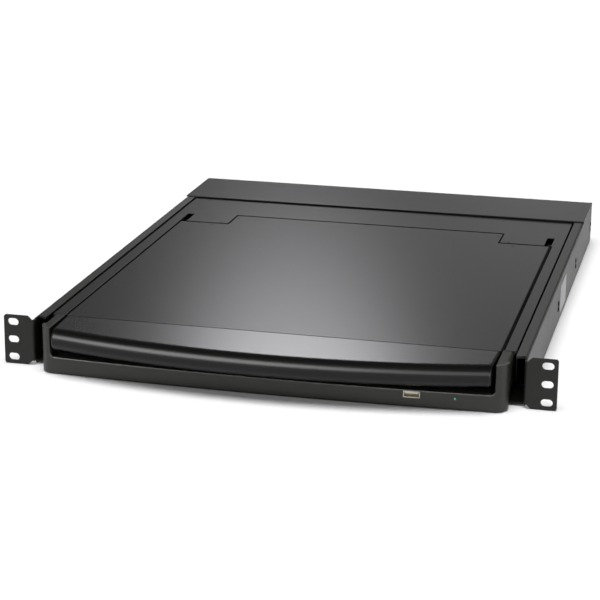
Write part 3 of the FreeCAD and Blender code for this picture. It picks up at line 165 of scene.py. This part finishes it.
def add_world():
    """Pale studio: plain white towards the camera; glossy and transmitted rays see the same white, with the
    pale wing, the light at the right and the shaded stretches; all other light is dim and even."""
    world = bpy.data.worlds.new("studio")
    world.use_nodes = True
    tree = world.node_tree
    tree.nodes.clear()
    output = node(tree, "ShaderNodeOutputWorld")
    background = node(tree, "ShaderNodeBackground")
    background.inputs["Color"].default_value = (1, 1, 1, 1)
    direction = node(tree, "ShaderNodeTexCoord").outputs["Generated"]
    patch_tree = soft_patch_group()
    path = node(tree, "ShaderNodeLightPath")
    seen = math_node(tree, "MAXIMUM", path.outputs["Is Glossy Ray"], path.outputs["Is Transmission Ray"])
    total = 1.0
    for label, azimuth, elevation, half_width, half_height, strength in STUDIO_PATCHES:
        patch = node(tree, "ShaderNodeGroup", node_tree=patch_tree, label=label)
        link(tree, direction, patch.inputs["Direction"])
        patch.inputs["Azimuth"].default_value = math.radians(azimuth)
        patch.inputs["Elevation"].default_value = math.radians(elevation)
        patch.inputs["Half width"].default_value = math.radians(half_width)
        patch.inputs["Half height"].default_value = math.radians(half_height)
        patch.inputs["Strength"].default_value = strength
        total = math_node(tree, "ADD", patch.outputs["Light"], total)
    total = math_node(tree, "MULTIPLY", seen, math_node(tree, "MAXIMUM", total, ROOM_LIGHT))
    dim = math_node(tree, "MULTIPLY", math_node(tree, "SUBTRACT", 1.0, seen), ROOM_LIGHT)
    total = math_node(tree, "MAXIMUM", math_node(tree, "ADD", total, dim), path.outputs["Is Camera Ray"])
    link(tree, total, background.inputs["Strength"])
    link(tree, background.outputs[0], output.inputs[0])
    bpy.context.scene.world = world


def add_lamp():
    """Wide soft lamp overhead, which gives the even light and the soft shadow at the floor."""
    data = bpy.data.lights.new("overhead lamp", "SUN")
    data.angle = LAMP_ANGLE
    data.energy = LAMP_STRENGTH
    lamp = bpy.data.objects.new("overhead lamp", data)
    lamp.matrix_world = Matrix.Rotation(LAMP_LEAN[0], 4, "X") @ Matrix.Rotation(LAMP_LEAN[1], 4, "Y")
    lamp.visible_glossy = False
    bpy.context.scene.collection.objects.link(lamp)


def add_softboxes():
    """Elliptical lamps that show in glossy surfaces only; some are kept to the pieces at the front."""
    for label, azimuth, elevation, half_width, half_height, radiance, colour, kept_to in SOFTBOXES:
        data = bpy.data.lights.new(label, "AREA")
        data.shape = "ELLIPSE"
        data.size = 2 * SOFTBOX_AWAY * math.tan(math.radians(half_width))
        data.size_y = 2 * SOFTBOX_AWAY * math.tan(math.radians(half_height))
        area = math.pi / 4 * data.size * data.size_y
        data.energy = radiance * math.pi * area
        data.color = colour
        lamp = bpy.data.objects.new(label, data)
        turn = Matrix.Rotation(-math.radians(azimuth), 4, "Z")
        turn = turn @ Matrix.Rotation(math.radians(elevation), 4, "X")
        faced = Matrix.Rotation(-math.pi / 2, 4, "X")
        lamp.matrix_world = turn @ Matrix.Translation((0, SOFTBOX_AWAY, 0)) @ faced
        lamp.visible_camera = False
        lamp.visible_diffuse = False
        bpy.context.scene.collection.objects.link(lamp)
        if kept_to:
            receivers = bpy.data.collections.new(label + " receivers")
            for name in kept_to:
                receivers.objects.link(nodes[name])
            lamp.light_linking.receiver_collection = receivers


def add_floor():
    """Large pale floor; camera, glossy and transmitted rays see it lifted to white where no shadow lies."""
    corners = [(FLOOR_HALF * x, FLOOR_HALF * y, -FLOOR_DROP) for x, y in ((-1, -1), (1, -1), (1, 1), (-1, 1))]
    mesh = bpy.data.meshes.new("floor")
    mesh.from_pydata(corners, [], [(0, 1, 2, 3)])
    floor = bpy.data.objects.new("floor", mesh)
    bpy.context.scene.collection.objects.link(floor)
    material = bpy.data.materials.new("pale floor")
    material.use_nodes = True
    tree = material.node_tree
    shader = tree.nodes["Principled BSDF"]
    shader.inputs["Base Color"].default_value = (FLOOR_COLOUR, FLOOR_COLOUR, FLOOR_COLOUR, 1)
    shader.inputs["Roughness"].default_value = 0.9
    shader.inputs["Specular IOR Level"].default_value = 0.0
    shader.inputs["Emission Color"].default_value = (1, 1, 1, 1)
    path = node(tree, "ShaderNodeLightPath")
    seen = math_node(tree, "MAXIMUM", path.outputs["Is Camera Ray"], path.outputs["Is Glossy Ray"])
    seen = math_node(tree, "MAXIMUM", seen, path.outputs["Is Transmission Ray"])
    link(tree, math_node(tree, "MULTIPLY", seen, FLOOR_LIFT), shader.inputs["Emission Strength"])
    mesh.materials.append(material)


# ---- shared effects ----

def fine_grain_group():
    """Height and tone of a sprayed or moulded skin: a fine noise on top of a coarser, weaker one."""
    tree, given, result = new_group("fine grain", (("Size", "Float", 0.001), ("Unevenness", "Float", 0.4)),
                                    (("Height", "Float"), ("Tone", "Float")))
    place = node(tree, "ShaderNodeTexCoord").outputs["Object"]
    scale = math_node(tree, "DIVIDE", 1.0, given.outputs["Size"])
    fine = node(tree, "ShaderNodeTexNoise")
    fine.inputs["Detail"].default_value = 2.0
    link(tree, place, fine.inputs["Vector"])
    link(tree, scale, fine.inputs["Scale"])
    coarse = node(tree, "ShaderNodeTexNoise")
    coarse.inputs["Detail"].default_value = 3.0
    link(tree, place, coarse.inputs["Vector"])
    link(tree, math_node(tree, "MULTIPLY", scale, 0.03), coarse.inputs["Scale"])
    swell = math_node(tree, "MULTIPLY", coarse.outputs[0], given.outputs["Unevenness"])
    link(tree, math_node(tree, "ADD", fine.outputs[0], swell), result.inputs["Height"])
    link(tree, coarse.outputs[0], result.inputs["Tone"])
    return tree


def soft_edge_group():
    """Normal rounded over near edges, and a mask that is 1 on an edge and 0 on the flat."""
    tree, given, result = new_group("soft edge", (("Radius", "Float", 0.0004),),
                                    (("Normal", "Vector"), ("Edge", "Float")))
    bevel = node(tree, "ShaderNodeBevel", samples=4)
    link(tree, given.outputs["Radius"], bevel.inputs["Radius"])
    facing = node(tree, "ShaderNodeVectorMath", operation="DOT_PRODUCT")
    link(tree, bevel.outputs[0], facing.inputs[0])
    link(tree, node(tree, "ShaderNodeNewGeometry").outputs["True Normal"], facing.inputs[1])
    spread = node(tree, "ShaderNodeMapRange")
    spread.inputs["From Min"].default_value = 0.995
    spread.inputs["From Max"].default_value = 0.80
    link(tree, facing.outputs["Value"], spread.inputs["Value"])
    link(tree, bevel.outputs[0], result.inputs["Normal"])
    link(tree, spread.outputs[0], result.inputs["Edge"])
    return tree


def handling_group():
    """Mask of faint smudges: a stretched noise cut to its upper part."""
    tree, given, result = new_group("handling marks", (("Size", "Float", 0.05),), (("Mask", "Float"),))
    place = node(tree, "ShaderNodeMapping")
    place.inputs["Scale"].default_value = (0.5, 1.4, 1.0)
    link(tree, node(tree, "ShaderNodeTexCoord").outputs["Object"], place.inputs["Vector"])
    noise = node(tree, "ShaderNodeTexNoise")
    noise.inputs["Detail"].default_value = 6.0
    noise.inputs["Roughness"].default_value = 0.65
    link(tree, place.outputs[0], noise.inputs["Vector"])
    link(tree, math_node(tree, "DIVIDE", 1.0, given.outputs["Size"]), noise.inputs["Scale"])
    cut = node(tree, "ShaderNodeMapRange")
    cut.inputs["From Min"].default_value = 0.45
    cut.inputs["From Max"].default_value = 0.75
    link(tree, noise.outputs[0], cut.inputs["Value"])
    link(tree, cut.outputs[0], result.inputs["Mask"])
    return tree


SKIN_IOR = 1.5
WORN_GAIN = 2.2
WORN_LIFT = 0.004
# Edge colour of the black mouldings: partly wear, partly a painted highlight along their edges.
MOULDING_EDGE_WEAR_AND_HIGHLIGHT = (0.10, 0.097, 0.085)
grain_tree = fine_grain_group()
edge_tree = soft_edge_group()
handling_tree = handling_group()


def finish(name, colour, roughness, edge_wear_and_painted_light=None, grain=0.0008, depth=0.00002, edge=0.0003,
           roughness_spread=0.06, marks=0.0, metallic=0.0, specular=0.5):
    """Surface with a fine grain, softened edges given their own colour, and uneven gloss; that edge colour is
    wear, on the mouldings also a painted highlight, on the pale plate painted shade.
    """
    material = bpy.data.materials.new(name)
    material.use_nodes = True
    tree = material.node_tree
    shader = tree.nodes["Principled BSDF"]
    skin = node(tree, "ShaderNodeGroup", node_tree=grain_tree)
    skin.inputs["Size"].default_value = grain
    rim = node(tree, "ShaderNodeGroup", node_tree=edge_tree)
    rim.inputs["Radius"].default_value = edge
    bump = node(tree, "ShaderNodeBump")
    bump.inputs["Distance"].default_value = depth
    link(tree, skin.outputs["Height"], bump.inputs["Height"])
    link(tree, rim.outputs["Normal"], bump.inputs["Normal"])
    link(tree, bump.outputs[0], shader.inputs["Normal"])
    edge_wear_and_painted_light = edge_wear_and_painted_light or tuple(min(1.0, part * WORN_GAIN + WORN_LIFT) for part in colour)
    link(tree, blend_colour(tree, rim.outputs["Edge"], colour, edge_wear_and_painted_light), shader.inputs["Base Color"])
    gloss = math_node(tree, "MULTIPLY_ADD", skin.outputs["Tone"], roughness_spread)
    gloss.node.inputs[2].default_value = roughness - roughness_spread / 2
    if marks > 0:
        touch = node(tree, "ShaderNodeGroup", node_tree=handling_tree)
        gloss = math_node(tree, "ADD", gloss, math_node(tree, "MULTIPLY", touch.outputs["Mask"], marks))
    link(tree, gloss, shader.inputs["Roughness"])
    shader.inputs["Metallic"].default_value = metallic
    shader.inputs["IOR"].default_value = SKIN_IOR
    shader.inputs["Specular IOR Level"].default_value = specular
    return material


def object_parts(tree):
    """The x, y and z sockets of the place on the object."""
    parts = node(tree, "ShaderNodeSeparateXYZ")
    link(tree, node(tree, "ShaderNodeTexCoord").outputs["Object"], parts.inputs[0])
    return parts.outputs


def lay_over(tree, shader, mask, colour):
    """Lay a colour over the base colour where the mask is 1."""
    mix = node(tree, "ShaderNodeMix", data_type="RGBA")
    link(tree, mask, mix.inputs[0])
    link(tree, shader.inputs["Base Color"].links[0].from_socket, mix.inputs[6])
    mix.inputs[7].default_value = (*colour, 1)
    link(tree, mix.outputs[2], shader.inputs["Base Color"])


def height_mask(tree, low, high):
    """Mask that goes from 0 at the lower height to 1 at the upper one, both in millimetres."""
    spread = node(tree, "ShaderNodeMapRange", interpolation_type="SMOOTHSTEP")
    spread.inputs["From Min"].default_value = low * MM
    spread.inputs["From Max"].default_value = high * MM
    link(tree, object_parts(tree)[2], spread.inputs["Value"])
    return spread.outputs[0]


def handle_finish():
    """Gloss moulding: a clear, smooth flat top, and a softer sheen on the rounded nose below it."""
    material = finish("gloss black", (0.0028, 0.0028, 0.0023), NOSE_ROUGHNESS, grain=0.02, depth=0.00001,
                      roughness_spread=0.02, specular=0.25)
    tree = material.node_tree
    shader = tree.nodes["Principled BSDF"]
    top = height_mask(tree, *HANDLE_TOP_FALL)
    gloss = shader.inputs["Roughness"].links[0].from_socket
    step = math_node(tree, "MULTIPLY", top, NOSE_ROUGHNESS - TOP_ROUGHNESS)
    link(tree, math_node(tree, "SUBTRACT", gloss, step), shader.inputs["Roughness"])
    link(tree, math_node(tree, "MULTIPLY", top, TOP_COAT), shader.inputs["Coat Weight"])
    shader.inputs["Coat Roughness"].default_value = TOP_ROUGHNESS
    return material


def side_finish():
    """Folded sheet, smoother on the faces that look up, which are also painted lighter as painted light
    falling on them.
    """
    material = finish("side steel", (0.0095, 0.010, 0.0082), 0.46, depth=0.000006, specular=0.39)
    tree = material.node_tree
    shader = tree.nodes["Principled BSDF"]
    parts = node(tree, "ShaderNodeSeparateXYZ")
    link(tree, node(tree, "ShaderNodeNewGeometry").outputs["True Normal"], parts.inputs[0])
    upward = node(tree, "ShaderNodeMapRange")
    upward.inputs["From Min"].default_value = SIDE_TOP_FACING[0]
    upward.inputs["From Max"].default_value = SIDE_TOP_FACING[1]
    link(tree, parts.outputs[2], upward.inputs["Value"])
    gloss = shader.inputs["Roughness"].links[0].from_socket
    step = math_node(tree, "MULTIPLY", upward.outputs[0], SIDE_TOP_GLOSS)
    link(tree, math_node(tree, "SUBTRACT", gloss, step), shader.inputs["Roughness"])
    # Painted light: the faces that look up get a lighter colour.
    lay_over(tree, shader, upward.outputs[0], SIDE_TOP_PAINTED_LIGHT)
    return material


def fascia_finish():
    """Moulded skin whose long upper edge is painted pale between the posts, as a painted highlight along that
    edge.
    """
    material = finish("fascia black", (0.0165, 0.0165, 0.0130), 0.36, grain=0.0006, depth=0.000015,
                      specular=0.40, edge=0.0008, edge_wear_and_painted_light=MOULDING_EDGE_WEAR_AND_HIGHLIGHT)
    tree = material.node_tree
    shader = tree.nodes["Principled BSDF"]
    painted_highlight = math_node(tree, "SUBTRACT", height_mask(tree, *EDGE_HIGHLIGHT_FROM), height_mask(tree, *EDGE_HIGHLIGHT_UNTIL))
    from_middle = math_node(tree, "ABSOLUTE", object_parts(tree)[0])
    between = math_node(tree, "LESS_THAN", from_middle, FASCIA_OPENING * MM)
    # Painted highlight: a pale band along the fascia's upper edge, between the posts.
    lay_over(tree, shader, math_node(tree, "MULTIPLY", painted_highlight, between), EDGE_HIGHLIGHT_COLOUR)
    return material


def lamp_finish():
    """Dark green lens with a small bright core: light falls off with the squared distance from its middle."""
    material = finish("lit green lens", (0.004, 0.045, 0.025), 0.15, edge=0.0002, depth=0.0)
    tree = material.node_tree
    shader = tree.nodes["Principled BSDF"]
    parts = object_parts(tree)
    squares = []
    for socket, middle in ((parts[0], LAMP_PLACE[0]), (parts[2], LAMP_PLACE[1])):
        offset = math_node(tree, "DIVIDE", math_node(tree, "SUBTRACT", socket, middle * MM), LAMP_CORE * MM)
        squares.append(math_node(tree, "MULTIPLY", offset, offset))
    squared = math_node(tree, "ADD", squares[0], squares[1])
    fall = math_node(tree, "EXPONENT", math_node(tree, "MULTIPLY", squared, -1.0))
    glow = blend_colour(tree, fall, (0.0, 0.0, 0.0), LAMP_GLOW)
    link(tree, glow, shader.inputs["Emission Color"])
    shader.inputs["Emission Strength"].default_value = 1.0
    return material


NOSE_ROUGHNESS = 0.30
TOP_ROUGHNESS = 0.20
TOP_COAT = 0.6
HANDLE_TOP_FALL = (40.3, 40.95)
FASCIA_EDGE = 15.2
FASCIA_OPENING = 189.0
# Height band, in millimetres, and colour of the painted highlight along the fascia's upper edge.
EDGE_HIGHLIGHT_FROM = (FASCIA_EDGE - 1.2, FASCIA_EDGE - 0.5)
EDGE_HIGHLIGHT_UNTIL = (FASCIA_EDGE + 0.2, FASCIA_EDGE + 0.6)
EDGE_HIGHLIGHT_COLOUR = (0.11, 0.108, 0.098)
LAMP_PLACE = (160.0, 10.2)
LAMP_CORE = 0.65
LAMP_GLOW = (0.12, 0.62, 0.36)
SIDE_TOP_GLOSS = 0.2
# Colour of the side sheet's upward faces: painted light, lighter where the light falls from above.
SIDE_TOP_PAINTED_LIGHT = (0.030, 0.030, 0.028)
SIDE_TOP_FACING = (0.5, 0.9)

FINISHES = {
    "satin black paint": finish("satin black paint", (0.018, 0.0175, 0.0178), 0.22, grain=0.0006,
                                depth=0.0000006, roughness_spread=0.01, edge=0.0005,
                                edge_wear_and_painted_light=(0.045, 0.043, 0.04)),
    "folded steel": finish("folded steel", (0.0085, 0.009, 0.0072), 0.46, depth=0.000012, specular=0.28),
    "side steel": side_finish(),
    "moulded black": finish("moulded black", (0.0145, 0.0145, 0.0112), 0.36, grain=0.0006, depth=0.000015,
                            specular=0.38, edge=0.0006, edge_wear_and_painted_light=MOULDING_EDGE_WEAR_AND_HIGHLIGHT),
    "fascia black": fascia_finish(),
    "gloss black": handle_finish(),
    "key black": finish("key black", (0.014, 0.014, 0.015), 0.42, grain=0.0005, depth=0.00002, marks=0.1),
    "pad black": finish("pad black", (0.02, 0.02, 0.021), 0.5, grain=0.0004, depth=0.00001),
    "button black": finish("button black", (0.012, 0.012, 0.012), 0.38, grain=0.0005),
    "zinc plate": finish("zinc plate", (0.52, 0.53, 0.55), 0.30, metallic=1.0, grain=0.004, depth=0.00001,
                         edge_wear_and_painted_light=(0.65, 0.66, 0.68), roughness_spread=0.16, marks=0.08),
    "black zinc": finish("black zinc", (0.035, 0.035, 0.037), 0.34, metallic=1.0, grain=0.004, depth=0.00001,
                         edge_wear_and_painted_light=(0.14, 0.14, 0.145), roughness_spread=0.12),
    "black fastener": finish("black fastener", (0.004, 0.004, 0.004), 0.8, edge_wear_and_painted_light=(0.02, 0.02, 0.02),
                             specular=0.12),
    "bright nickel": finish("bright nickel", (0.86, 0.82, 0.72), 0.28, metallic=0.7, grain=0.003,
                            depth=0.000005, edge=0.0001, edge_wear_and_painted_light=(0.95, 0.92, 0.84)),
    "cream moulding": finish("cream moulding", (0.82, 0.78, 0.66), 0.45, edge=0.0001),
    "green board": finish("green board", (0.012, 0.07, 0.03), 0.35, grain=0.003, edge=0.0001),
    "lit green lens": lamp_finish(),
    "green lens": finish("green lens", (0.01, 0.10, 0.045), 0.15, edge=0.0002, depth=0.000002),
    "screen glass": finish("screen glass", (0.004, 0.0045, 0.006), 0.05, grain=0.05, depth=0.0, edge=0.0002,
                           roughness_spread=0.02, marks=0.03),
    "panel metal": finish("panel metal", (0.50, 0.50, 0.50), 0.38, metallic=1.0, grain=0.003),
    "black rubber": finish("black rubber", (0.012, 0.012, 0.012), 0.7, grain=0.0006, depth=0.00003),
    # Near-black dull finish of the seam strips, which are painted shade in the seams.
    "painted seam shade": finish("painted seam shade", (0.003, 0.003, 0.003), 0.9, grain=0.0006, depth=0.00003,
                          specular=0.1, edge_wear_and_painted_light=(0.006, 0.006, 0.006)),
    # The pale plate's edges are painted darker than its face, as painted shade around its rim.
    "pale plate": finish("pale plate", (0.33, 0.33, 0.34), 0.42, metallic=0.35, grain=0.0012, depth=0.000008,
                         edge_wear_and_painted_light=(0.20, 0.20, 0.20), edge=0.0004, roughness_spread=0.1, marks=0.06),
}

NODE_FINISHES = {
    "satin black paint": ("rear_cover", "drawer_top_frame", "lid_cover"),
    "folded steel": ("base_pan", "rear_panel", "drawer_tray"),
    "side steel": ("side_",),
    "fascia black": ("front_fascia",),
    "moulded black": ("rail_cap_", "keyboard_deck", "lcd_bezel", "power_inlet", "switch_housing"),
    "gloss black": ("lid_handle",),
    "key black": ("key_row_",),
    "pad black": ("touchpad",),
    "button black": ("pad_button_", "screen_button_", "power_rocker", "key_guide_plate"),
    "black zinc": ("slide_", "hinge_arm_", "hinge_bracket_", "hinge_pins"),
    "zinc plate": ("electronics_cover",),
    "black fastener": ("slide_rivets", "cover_screws"),
    "bright nickel": ("usb_shell", "console_port"),
    "cream moulding": ("usb_tongue",),
    "green board": ("usb_board", "control_board"),
    "lit green lens": ("power_lamp",),
    "green lens": ("lock_lamps",),
    "screen glass": ("lcd_glass",),
    "panel metal": ("lcd_module", "power_supply"),
    "black rubber": ("lid_bumpers",),
}


def dress_frame():
    """Give every CAD piece its finish; the longest matching name wins."""
    for name, piece in nodes.items():
        best = ""
        chosen = None
        for label, starts in NODE_FINISHES.items():
            for start in starts:
                if name.startswith(start) and len(start) > len(best):
                    best = start
                    chosen = FINISHES[label]
        if not piece.material_slots:
            piece.data.materials.append(None)
        for material_slot in piece.material_slots:
            material_slot.material = chosen


# ---- small pieces on the sheets ----

REAR_SHIFT = 251.5          # the fixed frame's origin lies this far behind the rack ears' front
SIDE_FACE = 215.3
PLATE_Y = (250.0, 298.0)
PLATE_Z = (6.5, 33.5)
PLATE_CORNER = 1.5
PLATE_THICK = 0.35
PLATE_SUNK = 0.01
PLATE_POINTS = 48
PLATE_LEANS = (0, 0, 30, 60, 90)
PIP_RADIUS = 1.2
PIP_HEIGHT = 0.12
PIP_POINTS = 16
FRAME_TOP = 41.2
LID_TOP = 41.0
FRAME_PIPS = ((-187.0, 455.0), (187.0, 455.0), (0.0, 410.0), (-149.3, 368.8), (149.3, 368.8))
LID_PIPS = ((0.0, 393.0), (-155.5, 355.0), (155.5, 355.0), (-136.0, 389.0), (136.0, 389.0))
HEAD_RADIUS = 2.8
HEAD_HEIGHT = 0.9
HEAD_POINTS = 20
HEAD_RINGS = 6
HEAD_CROWN = math.radians(8)
HEAD_PLACES = tuple((y, z) for y in (235.5, 389.7, 539.4) for z in (15.6, 21.3))
# Bars of the dark strips that stand in for the shade in the seams: x, y and z from and to.
LID_SEAM = (((-190.6, 190.6), (19.05, 20.9), (40.8, 41.04)),)
COVER_SEAM = (((-203.0, 215.0), (461.75, 462.5), (38.0, 42.5)),)
FRAME_SEAM_Z = (41.08, 41.25)
FRAME_SEAMS = (
    ((-141.5, 141.5), (399.8, 401.4), FRAME_SEAM_Z),
    ((-141.4, -139.9), (363.4, 400.2), FRAME_SEAM_Z),
    ((139.9, 141.4), (363.4, 400.2), FRAME_SEAM_Z),
    ((-185.6, -139.9), (363.3, 365.2), FRAME_SEAM_Z),
    ((139.9, 185.6), (363.3, 365.2), FRAME_SEAM_Z),
    ((191.4, 194.3), (24.0, 363.0), FRAME_SEAM_Z),
)
ARCH_POINTS = 9


def add_piece(name, points, faces, finish_name, body):
    """Object at the origin from an array of points in millimetres and a list of faces."""
    mesh = bpy.data.meshes.new(name)
    mesh.from_pydata((points * MM).tolist(), [], faces)
    mesh.polygons.foreach_set("use_smooth", np.ones(len(mesh.polygons), bool))
    mesh.materials.append(FINISHES[finish_name])
    piece = bpy.data.objects.new(name, mesh)
    bpy.context.scene.collection.objects.link(piece)
    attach(piece, body)
    return piece


def tube_faces(rings, across, start=0):
    """Faces of a closed tube whose points run ring by ring: the quads of its wall and its two flat ends."""
    ring, point = np.meshgrid(np.arange(rings - 1), np.arange(across), indexing="ij")
    after = (point + 1) % across
    quads = np.stack([ring * across + point, ring * across + after, (ring + 1) * across + after,
                      (ring + 1) * across + point], -1) + start
    first = list(range(start + across - 1, start - 1, -1))
    last = list(range(start + (rings - 1) * across, start + rings * across))
    return quads.reshape(-1, 4).tolist() + [first, last]


def round_head(radius, height, around):
    """Low round head: radius times sin u across and height times cos u up, u from near the crown to the
    rim."""
    turn = np.linspace(0, 2 * np.pi, around, endpoint=False)
    lean = np.linspace(HEAD_CROWN, np.pi / 2, HEAD_RINGS)
    return np.stack([np.outer(np.sin(lean), np.cos(turn)) * radius,
                     np.outer(np.sin(lean), np.sin(turn)) * radius,
                     np.repeat(np.cos(lean)[:, None], around, 1) * height], -1).reshape(-1, 3)


def side_plate():
    """Blank plate on the right side: a rounded outline, drawn in towards its face by a quarter circle, so
    that ring u lies thickness times sin u out and is inset by thickness times (1 - cos u). The first ring is
    sunk into the sheet."""
    turn = np.linspace(0, 2 * np.pi, PLATE_POINTS, endpoint=False)
    middle_y = sum(PLATE_Y) / 2 - REAR_SHIFT
    middle_z = sum(PLATE_Z) / 2
    half_y = (PLATE_Y[1] - PLATE_Y[0]) / 2
    half_z = (PLATE_Z[1] - PLATE_Z[0]) / 2
    rings = []
    for lean in np.radians(PLATE_LEANS):
        inset = PLATE_THICK * (1 - np.cos(lean))
        out = SIDE_FACE + PLATE_THICK * np.sin(lean) if rings else SIDE_FACE - PLATE_SUNK
        along = (half_y - PLATE_CORNER) * np.sign(np.cos(turn)) + (PLATE_CORNER - inset) * np.cos(turn)
        up = (half_z - PLATE_CORNER) * np.sign(np.sin(turn)) + (PLATE_CORNER - inset) * np.sin(turn)
        rings.append(np.stack([np.full(PLATE_POINTS, out), middle_y + along, middle_z + up], -1))
    faces = tube_faces(len(rings), PLATE_POINTS)
    piece = add_piece("side_plate", np.concatenate(rings), faces, "pale plate", "case")
    piece.data.polygons.foreach_set("use_smooth", np.zeros(len(piece.data.polygons), bool))


def surface_pips(name, places, top, body):
    """Low round heads on a top sheet, at the given places in x and y."""
    head = round_head(PIP_RADIUS, PIP_HEIGHT, PIP_POINTS)[::-1]
    points = []
    faces = []
    for x, y in places:
        faces += tube_faces(HEAD_RINGS, PIP_POINTS, len(points) * len(head))
        points.append(head + np.array([x, y - REAR_SHIFT, top]))
    piece = add_piece(name, np.concatenate(points), faces, "black fastener", body)
    set_outwards(piece)


def side_heads(name, places, body):
    """Low round heads on both side faces, at the given places in y and z, turned outwards."""
    along, up, out = round_head(HEAD_RADIUS, HEAD_HEIGHT, HEAD_POINTS).T
    points = []
    faces = []
    for side in (-1, 1):
        for y, z in places:
            faces += tube_faces(HEAD_RINGS, HEAD_POINTS, len(points) * len(out))
            points.append(np.stack([side * (SIDE_FACE + out), y - REAR_SHIFT + along, z + up], -1))
    piece = add_piece(name, np.concatenate(points), faces, "black fastener", body)
    set_outwards(piece)


def set_outwards(piece):
    """Turn the faces of a closed mesh outwards."""
    shape = bmesh.new()
    shape.from_mesh(piece.data)
    bmesh.ops.recalc_face_normals(shape, faces=shape.faces)
    shape.to_mesh(piece.data)
    shape.free()


def seam_shade_strips(name, bars, body):
    """Dark dull strips laid in the seams as painted shade: a flattened arch, its height times the square root
    of sin u and its half width times cos u, carried straight along the bar's longer side; bars give x, y and
    z from and to."""
    lean = np.linspace(0, np.pi, ARCH_POINTS)
    points = []
    faces = []
    for x, y, z in bars:
        faces += tube_faces(2, ARCH_POINTS, len(points) * ARCH_POINTS)
        along_x = x[1] - x[0] > y[1] - y[0]
        ends, sides = (x, y) if along_x else (y, x)
        across = (sides[0] + sides[1]) / 2 + (sides[1] - sides[0]) / 2 * np.cos(lean)
        up = z[0] + (z[1] - z[0]) * np.sqrt(np.abs(np.sin(lean)))
        for end in ends:
            run = np.full(ARCH_POINTS, float(end))
            points.append(np.stack([run, across, up] if along_x else [across, run, up], -1))
    points = np.concatenate(points) - np.array([0, REAR_SHIFT, 0])
    piece = add_piece(name, points, faces, "painted seam shade", body)
    set_outwards(piece)


side_plate()
surface_pips("frame_pips", FRAME_PIPS, FRAME_TOP, "drawer")
surface_pips("lid_pips", LID_PIPS, LID_TOP, "lid")
# Dark strips in the lid, cover and frame seams, as painted shade in those seams.
seam_shade_strips("lid_seam_shade", LID_SEAM, "lid")
seam_shade_strips("cover_seam_shade", COVER_SEAM, "case")
seam_shade_strips("frame_seam_shades", FRAME_SEAMS, "drawer")
side_heads("side_heads", HEAD_PLACES, "case")
add_camera()
add_world()
add_lamp()
add_softboxes()
add_floor()
dress_frame()
bpy.context.scene.view_settings.view_transform = "Standard"
